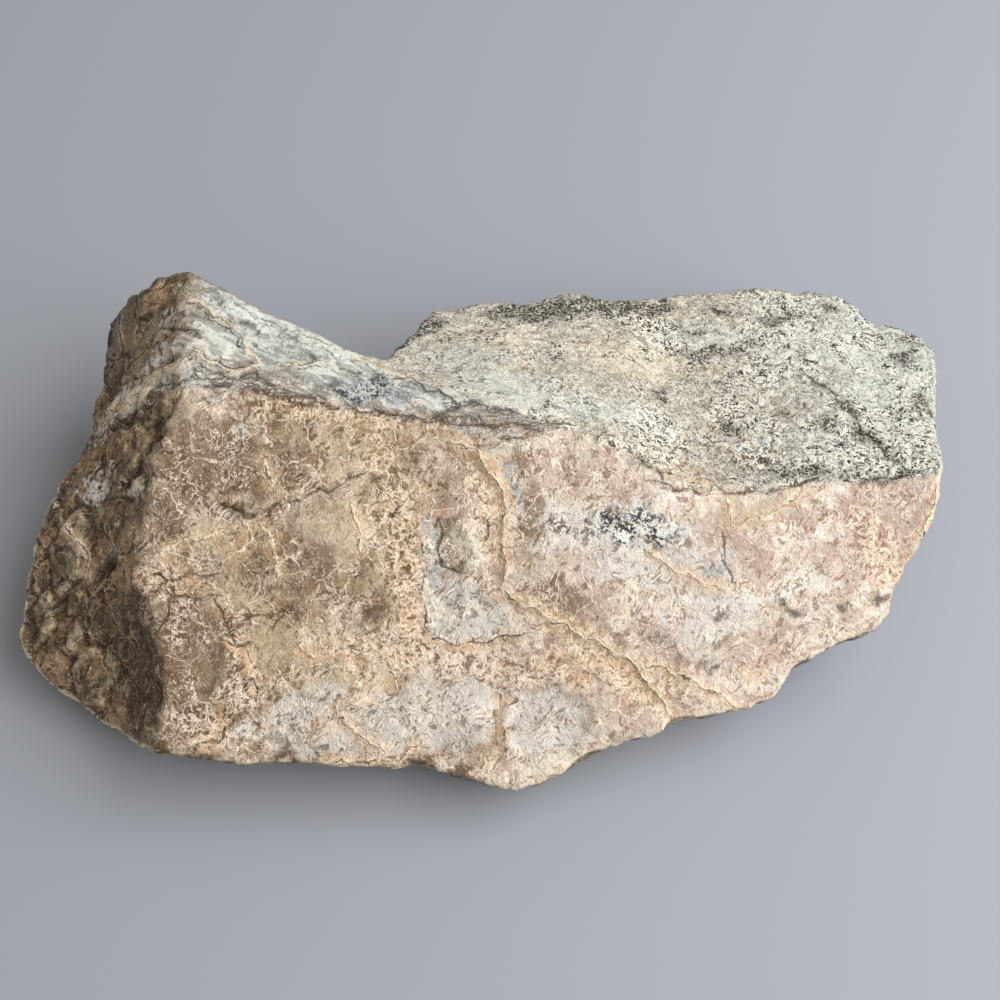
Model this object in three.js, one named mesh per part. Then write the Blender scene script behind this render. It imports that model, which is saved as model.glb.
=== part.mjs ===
// A rough piece of jadeite, one solid stone, in millimetres, +Z up.
// +X runs along its length, +Y to its back. The origin is on the ground under the
// middle of the stone, which lies on a small flat spot of its belly.
//
// The stone is drawn as its natural edges: lines of corners where two broken or
// weathered faces meet. Each face is the skin between two such lines.
import * as THREE from "three";
import { TessellateModifier } from "three/addons/modifiers/TessellateModifier.js";
import { ImprovedNoise } from "three/addons/math/ImprovedNoise.js";
import { mergeVertices } from "three/addons/utils/BufferGeometryUtils.js";

// Overall size of the stone.
const LENGTH = 184;
const DEPTH = 105;
const HEIGHT = 51;

// Longest edge of a facet, and how near two corners are to count as one.
const FACET_EDGE = 6;
const MOST_SPLITS = 40;
const MERGE_WITHIN = 1e-3;

// Relief of the worn faces: each wave has its length and height, and is moved
// from the one before it so that their bumps do not line up.
const RELIEF = [
  { wave: 26, height: 1.1 },
  { wave: 11, height: 0.7 },
  { wave: 5.5, height: 0.35 },
];
const WAVE_SHIFT = new THREE.Vector3(7.3, 2.1, 4.7);

// The relief starts this far above the ground and is full at the second height,
// so that the flat spot stays flat.
const RELIEF_STARTS_ABOVE = 0.2;
const RELIEF_FULL_ABOVE = 5;

// Corners where several edges meet.
const NORTH_WEST_PEAK = [-58.5, 40.5, 47];
const WEST_SHOULDER = [-57.5, 13.5, 51];
const CREST_JOIN = [10, 9.5, 43.5];
const EAST_TIP = [85.5, 2.5, 34];
const EAST_CHEEK = [82.5, -9.5, 28.5];
const EAST_HEEL = [76.5, -20.5, 23.5];
const NOTCH_TOP = [-27.5, 23.5, 46.5];
const EDGE_BEND = [-62.5, -2.5, 43.5];
const EDGE_FOOT = [-61.5, -30.5, 29.5];
const SOUTH_WEST_TOE = [-61.5, -47.3, 20.5];

// The crest: its far line is the back of the pale upper face, and its near line
// is where that face meets the weathered one.
const CREST_BEFORE_NOTCH = [NORTH_WEST_PEAK, [-46, 33, 47.5], NOTCH_TOP];
const CREST_AFTER_NOTCH = [NOTCH_TOP, [-16, 18, 45.5], [-1, 13, 44.7], CREST_JOIN];
const CREST_NEAR = [
  WEST_SHOULDER,
  [-42.5, 13, 49.5],
  [-28, 11, 47.5],
  [-11.5, 9.7, 45.6],
  CREST_JOIN,
];
const RIDGE = [
  CREST_JOIN,
  [22, 6.3, 41.2],
  [30, 2.5, 38.8],
  [37.5, -0.7, 36.5],
  [46, -0.3, 35.8],
  [54.5, 0.2, 35.5],
  [70, 1.5, 34.8],
  EAST_TIP,
];

// Two lines across the weathered face, which give it its low swells.
const FACE_HIGH_LINE = [
  EDGE_BEND,
  [-48, -6.5, 41.2],
  [-31.5, -8.5, 39.1],
  [-11.5, -9, 35.4],
  [1.5, -10.5, 34.2],
  [13, -11.5, 33.9],
  [28, -11, 33.3],
  [43, -10.5, 31.7],
  [58.5, -8.5, 30.6],
  [72, -7.5, 30.5],
  EAST_CHEEK,
];
const FACE_LOW_LINE = [
  EDGE_FOOT,
  [-46.5, -30.5, 28.8],
  [-30, -30.5, 27.2],
  [-11.5, -29, 25],
  [1.5, -28.5, 24.7],
  [13, -29.5, 24.5],
  [28, -28.5, 24.6],
  [39, -27, 24.8],
  [50.5, -25.5, 24.2],
  [64, -21.5, 24.6],
  EAST_HEEL,
];

// The west end: the edge of the weathered face, and the foot of the drop below it.
const EDGE_ABOVE_BEND = [WEST_SHOULDER, EDGE_BEND];
const EDGE_BELOW_BEND = [EDGE_BEND, [-66.3, -19, 35.6], EDGE_FOOT];
const EDGE_TO_TOE = [EDGE_FOOT, SOUTH_WEST_TOE];
const DROP_FOOT = [
  NORTH_WEST_PEAK,
  [-64, 30, 43],
  [-66.5, 15.5, 42],
  [-71, -1.5, 33.5],
  [-72.5, -18, 23.5],
  [-70.5, -33, 14.5],
  SOUTH_WEST_TOE,
];

// The rim, anticlockwise from above: the outermost edge of the upper faces.
const SOUTH_RIM = [
  SOUTH_WEST_TOE,
  [-53, -48.4, 19.2],
  [-46.5, -49, 18.4],
  [-39, -48.5, 17.9],
  [-32, -48.7, 17.4],
  [-25, -48.8, 16.6],
  [-18, -49, 16.2],
  [-15.5, -48, 16.6],
  [-12.5, -48.7, 15.9],
  [-7.5, -50.5, 14.7],
  [-2, -51.7, 13.6],
  [5, -52.5, 12.6],
  [8, -51.2, 12.9],
  [10, -50.1, 13.4],
  [13, -49.6, 13.4],
  [16, -47, 14.4],
  [18.5, -45.6, 15],
  [23, -44.3, 15.3],
  [28, -43, 15.6],
  [32, -42.1, 15.7],
  [34, -39.3, 16.9],
  [39.5, -39.4, 16.5],
  [47, -37.8, 16.6],
  [54, -36, 17],
  [56.3, -33.4, 18.2],
  [58, -29.8, 19.8],
  [64.3, -27.6, 20.4],
  [68.2, -24.9, 21.4],
  [74, -23.6, 21.6],
  EAST_HEEL,
];
const EAST_RIM = [EAST_HEEL, [79, -15, 25.8], EAST_CHEEK];
const EAST_END = [EAST_CHEEK, [84.5, -4.6, 30.6], EAST_TIP];
const BACK_RIM_FROM_EAST = [
  EAST_TIP,
  [88.5, 12, 28],
  [90.5, 26, 23],
  [92, 39.5, 20],
  [88, 43.3, 21],
  [78.8, 45.6, 22],
  [74, 51, 22],
  [69.5, 52, 22.5],
  [64.5, 51.6, 23],
  [52, 52.4, 24],
  [43.5, 51.3, 25],
  [32.5, 48.4, 26],
  [24, 47.6, 26.6],
  [16, 48.5, 27],
  [8, 45.4, 28],
  [1.5, 46.6, 28],
  [-4.5, 45, 29],
  [-11.5, 42.5, 30],
  [-18, 30.5, 36],
  [-20.5, 23.5, 42],
  NOTCH_TOP,
];
const WEST_RIM_FROM_PEAK = [
  NORTH_WEST_PEAK,
  [-67, 41, 42],
  [-72, 41, 37],
  [-76.7, 38, 32],
  [-77.6, 24.2, 30],
  [-80.2, 16.3, 28],
  [-84.7, 6.8, 25],
  [-89.3, -4.4, 21],
  [-91, -13.7, 18],
  [-92, -22.6, 14],
  [-90, -26.6, 11],
  [-84.2, -31, 9],
  [-75.7, -37.6, 9],
  [-68, -43, 13],
  SOUTH_WEST_TOE,
];

// The belly: a line round the sides below the rim, and the edge of the flat spot.
const BELLY = [
  [-60, -43.5, 8],
  [-47, -45.5, 7.5],
  [-31, -45.5, 7],
  [-16, -45.5, 6.5],
  [2, -48.5, 5],
  [14, -46, 5.5],
  [28, -39.5, 7],
  [44, -35.5, 8],
  [56, -29.5, 9],
  [66, -22, 10.5],
  [76, -14, 12],
  [81, -5, 14],
  [84, 5, 15],
  [85, 17, 13],
  [87, 28, 11],
  [86, 38, 9],
  [76, 47, 9],
  [60, 50, 10],
  [44, 49, 11],
  [28, 46, 12],
  [10, 43.5, 13],
  [-6, 41, 14],
  [-15, 35, 18],
  [-24, 31, 20],
  [-36, 35, 20],
  [-48, 39, 18],
  [-58, 43, 17],
  [-68, 40, 15],
  [-75, 33, 13],
  [-77, 20, 12],
  [-82, 6, 11],
  [-86, -6, 9],
  [-87, -18, 6],
  [-84, -26, 4],
  [-75, -33, 4],
  [-66, -39, 6],
];
const FLAT_SPOT = [
  [-40, -19, 0],
  [-26, -23, 0],
  [-10, -24, 0],
  [6, -24, 0],
  [20, -20, 0],
  [31, -13, 0],
  [38, -3, 0],
  [38, 8, 0],
  [31, 16, 0],
  [19, 20, 0],
  [5, 19, 0],
  [-9, 16, 0],
  [-23, 15, 0],
  [-37, 14, 0],
  [-46, 8, 0],
  [-50, -2, 0],
  [-48, -12, 0],
];

const reversed = (line) => [...line].reverse();
const joined = (...lines) => lines.reduce((all, line) => [...all, ...line.slice(1)]);
const closed = (line) => [...line, line[0]];
const gap = (p, q) => Math.hypot(p[0] - q[0], p[1] - q[1], p[2] - q[2]);

// The skin between two lines that run left to right as seen from outside. It steps along
// whichever line gives the shorter cross edge, and leaves out the triangles that collapse
// where the lines share an end.
function skin(top, bottom) {
  const triangles = [];
  let i = 0;
  let j = 0;
  while (i < top.length - 1 || j < bottom.length - 1) {
    const topNext = top[i + 1];
    const bottomNext = bottom[j + 1];
    const stepTop = !bottomNext || (topNext && gap(topNext, bottom[j]) <= gap(top[i], bottomNext));
    const next = stepTop ? topNext : bottomNext;
    if (top[i] !== bottom[j] && next !== top[i] && next !== bottom[j]) {
      triangles.push([top[i], bottom[j], next]);
    }
    if (stepTop) i += 1;
    else j += 1;
  }
  return triangles;
}

// A flat cap that closes a loop drawn anticlockwise from above, facing down.
function capBelow(loop) {
  const middle = [0, 1, 2].map((k) => loop.reduce((sum, p) => sum + p[k], 0) / loop.length);
  return closed(loop)
    .slice(1)
    .map((p, k) => [middle, p, loop[k]]);
}

// All the stone's faces, as triangles between its corners.
function stoneFaces() {
  const crestFar = joined(CREST_BEFORE_NOTCH, CREST_AFTER_NOTCH);
  const backOfSlab = reversed(BACK_RIM_FROM_EAST);
  const westEdge = joined(
    [NORTH_WEST_PEAK, WEST_SHOULDER],
    EDGE_ABOVE_BEND,
    EDGE_BELOW_BEND,
    EDGE_TO_TOE,
  );
  const rim = joined(
    SOUTH_RIM,
    EAST_RIM,
    EAST_END,
    BACK_RIM_FROM_EAST,
    reversed(CREST_BEFORE_NOTCH),
    WEST_RIM_FROM_PEAK,
  );
  return [
    // pale upper face
    ...skin(crestFar, joined([NORTH_WEST_PEAK, WEST_SHOULDER], CREST_NEAR)),
    // green back face
    ...skin(backOfSlab, joined(CREST_AFTER_NOTCH, RIDGE)),
    // weathered face, in three bands
    ...skin(joined(CREST_NEAR, RIDGE), joined(EDGE_ABOVE_BEND, FACE_HIGH_LINE, EAST_END)),
    ...skin(FACE_HIGH_LINE, joined(EDGE_BELOW_BEND, FACE_LOW_LINE, EAST_RIM)),
    ...skin(FACE_LOW_LINE, joined(EDGE_TO_TOE, SOUTH_RIM)),
    // west drop and west bench
    ...skin(westEdge, DROP_FOOT),
    ...skin(DROP_FOOT, WEST_RIM_FROM_PEAK),
    // sides, underside and flat spot
    ...skin(rim, closed(BELLY)),
    ...skin(closed(BELLY), closed(FLAT_SPOT)),
    ...capBelow(FLAT_SPOT),
  ];
}

const noise = new ImprovedNoise();

// Height of the relief at a point of the surface, in millimetres.
function reliefAt(point) {
  const rise = RELIEF.reduce((sum, { wave, height }, k) => {
    const at = point.clone().divideScalar(wave).addScaledVector(WAVE_SHIFT, k);
    return sum + height * noise.noise(at.x, at.y, at.z);
  }, 0);
  return rise * THREE.MathUtils.smoothstep(point.z, RELIEF_STARTS_ABOVE, RELIEF_FULL_ABOVE);
}

// Moves every vertex along its normal by the relief.
function roughen(geometry) {
  geometry.computeVertexNormals();
  const place = geometry.getAttribute("position");
  const normal = geometry.getAttribute("normal");
  const point = new THREE.Vector3();
  const out = new THREE.Vector3();
  for (let i = 0; i < place.count; i += 1) {
    point.fromBufferAttribute(place, i);
    out.fromBufferAttribute(normal, i);
    point.addScaledVector(out, reliefAt(point));
    place.setXYZ(i, point.x, point.y, point.z);
  }
}

// Brings the stone to its overall size, with the middle of its box over the origin.
function fitToSize(geometry) {
  geometry.computeBoundingBox();
  const { min, max } = geometry.boundingBox;
  geometry.translate(-(min.x + max.x) / 2, -(min.y + max.y) / 2, -min.z);
  geometry.scale(LENGTH / (max.x - min.x), DEPTH / (max.y - min.y), HEIGHT / (max.z - min.z));
}

function stoneGeometry() {
  const corners = new THREE.BufferGeometry();
  corners.setAttribute("position", new THREE.Float32BufferAttribute(stoneFaces().flat(2), 3));
  const facets = new TessellateModifier(FACET_EDGE, MOST_SPLITS).modify(corners);
  const surface = mergeVertices(facets, MERGE_WITHIN);
  roughen(surface);
  fitToSize(surface);
  surface.computeVertexNormals();
  return surface;
}

const rind = new THREE.MeshStandardMaterial({ color: 0xb29a80, roughness: 0.62, metalness: 0 });

const stone = new THREE.Mesh(stoneGeometry(), rind);
stone.name = "jadeite_stone";

const part = new THREE.Group();
part.name = "rough_jadeite";
part.add(stone);

export default part;
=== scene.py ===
"""A rough piece of jadeite lying on a pale floor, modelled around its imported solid.

The solid gives the stone's shape. Here it gets its relief, which is the worn skin, the
cracks, the steps and the plates of its west end, and its rind, veins, stains and specks.
"""

from __future__ import annotations

import functools
import logging
import math
from dataclasses import dataclass, field
from enum import Enum

import bpy
import numpy as np
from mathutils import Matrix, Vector

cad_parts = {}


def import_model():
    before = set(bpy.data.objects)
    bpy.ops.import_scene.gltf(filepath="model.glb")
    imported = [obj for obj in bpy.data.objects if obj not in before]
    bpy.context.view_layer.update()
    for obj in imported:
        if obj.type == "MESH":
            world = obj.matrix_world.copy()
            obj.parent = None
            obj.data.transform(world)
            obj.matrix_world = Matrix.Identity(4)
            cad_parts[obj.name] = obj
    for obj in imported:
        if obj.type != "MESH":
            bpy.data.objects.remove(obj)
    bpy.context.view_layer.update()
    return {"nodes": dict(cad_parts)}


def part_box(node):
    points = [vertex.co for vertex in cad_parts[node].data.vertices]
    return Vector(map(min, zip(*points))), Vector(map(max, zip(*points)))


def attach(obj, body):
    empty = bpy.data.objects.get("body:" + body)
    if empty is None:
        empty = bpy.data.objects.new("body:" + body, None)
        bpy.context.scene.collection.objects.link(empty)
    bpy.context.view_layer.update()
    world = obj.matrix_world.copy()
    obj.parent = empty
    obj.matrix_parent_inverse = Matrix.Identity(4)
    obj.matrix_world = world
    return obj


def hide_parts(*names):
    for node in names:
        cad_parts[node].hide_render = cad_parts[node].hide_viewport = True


log = logging.getLogger("jadeite")

MM = 0.001
NODE = "jadeite_stone"
BODY = "root"
SLOT = "jadeite_rind"

Point = tuple[float, float]
Line = tuple[Point, ...]


# --------------------------------------------------------------------------------------
# The stone's natural lines, seen from above, in millimetres
# --------------------------------------------------------------------------------------

CREST_FAR: Line = (
    (-58.5, 40.5), (-46, 33), (-27.5, 23.5), (-16, 18), (-1, 13), (10, 9.5),
)
CREST_NEAR: Line = ((-57.5, 13.5), (-42.5, 13), (-28, 11), (-11.5, 9.7), (10, 9.5))
RIDGE: Line = (
    (10, 9.5), (22, 6.3), (30, 2.5), (37.5, -0.7), (54.5, 0.2), (70, 1.5), (85.5, 2.5),
)
WEST_EDGE: Line = (
    (-58.5, 40.5), (-57.5, 13.5), (-62.5, -2.5), (-66.3, -19), (-61.5, -30.5),
    (-61.5, -47.3),
)

# The outermost edge of the upper faces, anticlockwise from above, with its height.
RIM: tuple[tuple[float, float, float], ...] = (
    (-61.5, -47.3, 20.5), (-46.5, -49, 18.4), (-32, -48.7, 17.4), (-18, -49, 16.2),
    (-15.5, -48, 16.6), (-7.5, -50.5, 14.7), (5, -52.5, 12.6), (10, -50.1, 13.4),
    (18.5, -45.6, 15), (32, -42.1, 15.7), (34, -39.3, 16.9), (47, -37.8, 16.6),
    (54, -36, 17), (58, -29.8, 19.8), (68.2, -24.9, 21.4), (76.5, -20.5, 23.5),
    (82.5, -9.5, 28.5), (85.5, 2.5, 34), (88.5, 12, 28), (90.5, 26, 23), (92, 39.5, 20),
    (78.8, 45.6, 22), (69.5, 52, 22.5), (52, 52.4, 24), (43.5, 51.3, 25),
    (32.5, 48.4, 26), (16, 48.5, 27), (1.5, 46.6, 28), (-11.5, 42.5, 30),
    (-18, 30.5, 36), (-20.5, 23.5, 42), (-27.5, 23.5, 46.5), (-46, 33, 47.5),
    (-58.5, 40.5, 47), (-67, 41, 42), (-76.7, 38, 32), (-80.2, 16.3, 28),
    (-89.3, -4.4, 21), (-92, -22.6, 14), (-90, -26.6, 11), (-84.2, -31, 9),
    (-75.7, -37.6, 9), (-68, -43, 13),
)

# Far enough outside the stone to close the outline of a face.
FAR = 130.0

# The west edge is as rounded as a place this many millimetres away from a sharp edge.
WEST_EDGE_WORN = 6.0

# The flanks under the rim face down or sideways: their normal's z is below this.
FLANKS_FACE_BELOW = 0.2


class Zone(Enum):
    """The parts of the stone's skin. The value names the map of how deep a place is in it."""

    RIND = "rind"
    GREEN = "green"
    PALE = "pale"
    WEST = "west"
    UNDER = "under"
    SHOULDER = "shoulder"


class Cut(Enum):
    """The kinds of lines on the stone. The value names the map of the distance to them."""

    CRACK = "crack"
    VEIN = "vein"
    SEAM = "seam"


@dataclass(frozen=True)
class Scar:
    """A crack, vein or seam that runs over the upper faces, in millimetres.

    depth is how deep it is cut, or how far it stands up where it is below zero. drop
    lowers the ground on its right-hand side, which rises again over reach.
    """

    points: Line
    width: float = 0.7
    depth: float = 0.5
    drop: float = 0.0
    reach: float = 8.0


CRACKS: tuple[Scar, ...] = (
    Scar(((-49.5, -7), (-47.5, -6.5), (-45, -9), (-44, -8.5), (-42.5, -7)), 0.8, 0.4),
    Scar(((-42, -7.5), (-36, -5.5), (-30, -3.5), (-26, -1.5), (-24, -0.5)), 0.5, 0.12),
    Scar(
        (
            (-59.5, 14.5), (-48.5, 14.3), (-42.5, 12.5), (-34.5, 10.5), (-28, 10.5),
            (-18, 9.5), (-12.5, 9), (-8, 11),
        ),
        0.6, 0.4, 0.6, 5,
    ),
    Scar(
        (
            (-21, 18.5), (-15.5, 18), (-12, 15.5), (-6.5, 13), (-0.5, 12), (6.5, 10.5),
            (14.5, 10.5),
        ),
        0.5, 0.3,
    ),
    Scar(((-12.5, 9), (-8.5, 11), (-5, 12), (-1.5, 11.5), (4.5, 10.8), (9, 10)), 0.5, 0.3),
    Scar(((-14, 9.2), (-8, 8.3), (-2, 8.1), (4, 8.5), (12, 9.2)), 0.5, 0.25),
    Scar(((-4, 4.6), (-0.5, 5.1), (3, 6.2), (7, 7.2), (11, 7.6)), 0.5, 0.3),
    Scar(((-9.5, -9), (-9.8, -12.5), (-9.5, -15.5), (-6, -16)), 0.8, 0.35),
    Scar(((-0.5, -7.5), (-1.5, -11)), 0.9, 0.4),
    Scar(((-62.5, -18.5), (-57, -19), (-54.5, -18), (-51.5, -18)), 0.6, 0.35),
    Scar(((-63, -21.5), (-59.5, -21), (-56.5, -22), (-51.5, -21.5)), 0.6, 0.35),
    Scar(((-59.5, -22), (-60, -25.5), (-61, -27)), 0.6, 0.35),
    Scar(((-51, -22.5), (-48, -27.5), (-47.5, -29), (-44.5, -29.5)), 0.5, 0.3),
    Scar(((-47.5, -25), (-43, -24.5), (-38.5, -23.5), (-40.5, -26.5)), 0.5, 0.25),
    Scar(((-16.5, -5), (-18.5, -7)), 0.8, 0.4),
    Scar(((-71, 14), (-67, 11.5), (-62, 5.5), (-61, 4)), 1, 1),
    Scar(
        ((-66.5, -19), (-66, -23), (-65.5, -26.5), (-64.5, -32), (-62, -37.5), (-62, -41.5)),
        1.2, 0.9,
    ),
    Scar(
        ((62.5, 29), (66, 25.5), (70.5, 20.5), (72.5, 15), (78, 6.5), (80, 2.5)),
        0.8, 0.45, 0.6, 6,
    ),
    Scar(((45.5, 17), (47.5, 14.5), (48, 11.5)), 0.7, 0.4),
    Scar(((69.5, 1.5), (75, 3), (79, 3)), 0.8, 0.5),
    Scar(((30, -0.2), (38, -1.6), (47, -1.2), (54, -0.6), (62, 1.8)), 0.7, 0.4),
    Scar(((43.5, -9.5), (43.7, -13.5), (45, -16)), 0.5, 0.2),
    Scar(((-61.5, 28), (-56.5, 26)), 1, 0.8),
    Scar(((-67, 36.5), (-64, 35.5), (-65.5, 33.5), (-68, 34)), 1, 0.8),
    Scar(((-65.5, 20.5), (-59, 20.5)), 1.2, 1),
    Scar(((-54, 18), (-49, 15.5), (-44, 17), (-38, 13), (-32, 12)), 0.8, 0.4),
    Scar(((-55, 16), (-50, 14.2), (-45, 14.8), (-40, 12)), 0.7, 0.3),
)
VEINS: tuple[Scar, ...] = (
    Scar(
        (
            (-7, 5.5), (-2.5, 3.5), (0.5, 0), (2, -3), (3, -5.5), (2, -9.5), (2.5, -12.5),
            (3, -15), (1.5, -19),
        ),
        0.8, -0.4, 0.5, 6,
    ),
    Scar(
        (
            (1.5, -19), (5.5, -21), (10.5, -23.5), (15, -25.5), (20, -27.5), (27, -31.5),
            (30, -34.5), (34, -39),
        ),
        0.7, -0.35, 0.45, 5,
    ),
    Scar(((29.5, -31), (35.5, -32.5), (40.5, -34.5), (46.5, -37)), 0.8, -0.3),
    Scar(((-41.5, 1.5), (-41.5, -0.5), (-40.5, -3)), 0.7, -0.2),
    Scar(((-46, -9.5), (-44, -12), (-45, -13.5), (-47.5, -14)), 0.7, -0.2),
    Scar(((-43, -9.5), (-40, -12), (-40, -15.5), (-39.5, -18)), 0.7, -0.25),
    Scar(((-25.5, -6.5), (-25, -8.5), (-24.5, -11), (-24, -13)), 0.7, -0.25),
    Scar(((-49.5, -11), (-54, -12), (-57.5, -12.5), (-62, -15.5)), 0.7, -0.2),
    Scar(((30, -12), (33.5, -14.5), (37, -16), (42.5, -18)), 0.7, -0.25),
    Scar(((58.5, -0.5), (55, -3), (52.5, -5), (47.5, -6.5)), 0.8, -0.25),
    Scar(((44.5, -3), (45.5, -6.5)), 0.7, -0.2),
    Scar(((-20, -34.5), (-24.5, -38), (-28.5, -40.5), (-33, -44)), 0.8, -0.4),
    Scar(((-28.5, -39.5), (-27, -41.5), (-24.5, -44), (-20, -46.5)), 0.7, -0.35),
    Scar(((39.5, 9.5), (50.5, 11)), 0.6, -0.15),
    Scar(
        ((-57.5, 33.5), (-54.5, 32), (-51, 29), (-47.5, 25.5), (-45.5, 22), (-43, 19)),
        0.9, -0.5, 0.4, 4,
    ),
    Scar(((-38.5, 19), (-32, 19.5)), 0.7, -0.2),
    Scar(((-43, 19), (-49, 16.5), (-54.5, 20)), 0.8, -0.4),
    Scar(
        ((-75, 16), (-72.5, 16), (-65.5, 16), (-64.5, 19), (-57.5, 18.5), (-54.5, 21.5)),
        1.6, -1.0,
    ),
    Scar(((-82, -3), (-78.5, -7.5), (-77, -12.5)), 0.9, -0.5),
    Scar(((-30.5, -48.5), (-17, -47.5), (-14, -45)), 0.7, -0.2),
    # This vein runs along the right rim; its cream there is a painted highlight on the raised
    # edge.
    Scar(((85, 1), (82.5, -6), (80.5, -11), (77, -17)), 0.9, -0.2),
)
SEAMS: tuple[Scar, ...] = (
    Scar(((4, -36.5), (2, -38), (1.5, -43.5), (2, -46.5), (3.5, -49)), 0.9, 0.3, 0.5, 6),
    Scar(((-49, -29.5), (-46, -30.5), (-45, -33), (-44, -37)), 0.9, -0.4),
    Scar(((-49.5, -40.5), (-50.5, -44.5), (-53, -46.5)), 1, 0.3),
    Scar(((34, 1.2), (37.5, 0.6), (41, 0.9)), 1, -0.3),
    Scar(
        (
            (-9.5, -6.5), (-12.5, -9), (-13.5, -11), (-13, -14.5), (-13.5, -17.5),
            (-13, -25), (-11, -27.5), (-8.5, -28.5), (-3, -28.5), (6.5, -26.5),
        ),
        0.8, 0.3,
    ),
)

SCARS: dict[Cut, tuple[Scar, ...]] = {Cut.CRACK: CRACKS, Cut.VEIN: VEINS, Cut.SEAM: SEAMS}


@dataclass(frozen=True)
class Lobe:
    """A rounded plate that stands out of a face, or a dish in it where rise is below zero.

    turn is in degrees, and groove is how deep the furrow around it is, in millimetres.
    """

    centre: Point
    half: Point
    turn: float
    rise: float
    groove: float = 0.4


LOBES: tuple[Lobe, ...] = (
    Lobe((-81.5, -8.5), (3.8, 8), -14, 0.9, 0.5),
    Lobe((-86.5, -19), (2.2, 5.5), -14, 0.6, 0.4),
    Lobe((-80.5, -23.5), (2, 2.8), 0, 0.7, 0.5),
    Lobe((-76.5, -30), (4.8, 5.5), -12, 0.8, 0.5),
    Lobe((-69, 6.5), (5.5, 5.5), -20, 0.7, 0.45),
    Lobe((-63.5, 12.5), (5, 3.5), 0, 0.5, 0.3),
    Lobe((-72.5, -13), (2, 1.6), 0, -1.3, 0),
    Lobe((-67, -1), (2.2, 2.2), 0, 0.6, 0.5),
    Lobe((-52.5, -34), (3.2, 4.6), 0, -0.7, -0.2),
    Lobe((-30.5, -9.5), (7, 6), 20, 0.35, 0),
    Lobe((-8.5, -15), (4.2, 8.5), 0, -0.8, 0),
    Lobe((-5, -23.5), (8, 4.6), -10, -0.6, 0),
    Lobe((-5, -12.5), (3, 3.8), 0, 0.25, 0),
    Lobe((10.5, -41), (8, 7), 0, -0.6, -0.15),
    Lobe((-14, 3.5), (1.6, 2.2), 0, -0.5, 0),
    Lobe((-1, 10.4), (10, 1.2), -2, 0.5, 0.3),
)


# --------------------------------------------------------------------------------------
# Stains, with some painted shade and highlight among them
# --------------------------------------------------------------------------------------


class Stain(Enum):
    """The colours that lie in patches on the stone, a few of them painted shade and highlight. The
    value names the patch's map.
    """

    BROWN = "stain_brown"
    PALE = "stain_pale"
    PINK = "stain_pink"
    OLIVE = "stain_olive"
    ORANGE = "stain_orange"
    GREY = "stain_grey"
    BLUE = "stain_blue"
    GREEN = "stain_green"
    SLATE = "stain_slate"
    DARK = "stain_dark"
    DEEP = "stain_deep"
    WHITE = "stain_white"
    CREAM = "stain_cream"
    SPECKLED = "stain_speckled"
    FIBROUS = "stain_fibrous"
    FOLDED = "stain_folded"


Patch = tuple[float, float, float, float, float]

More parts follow.
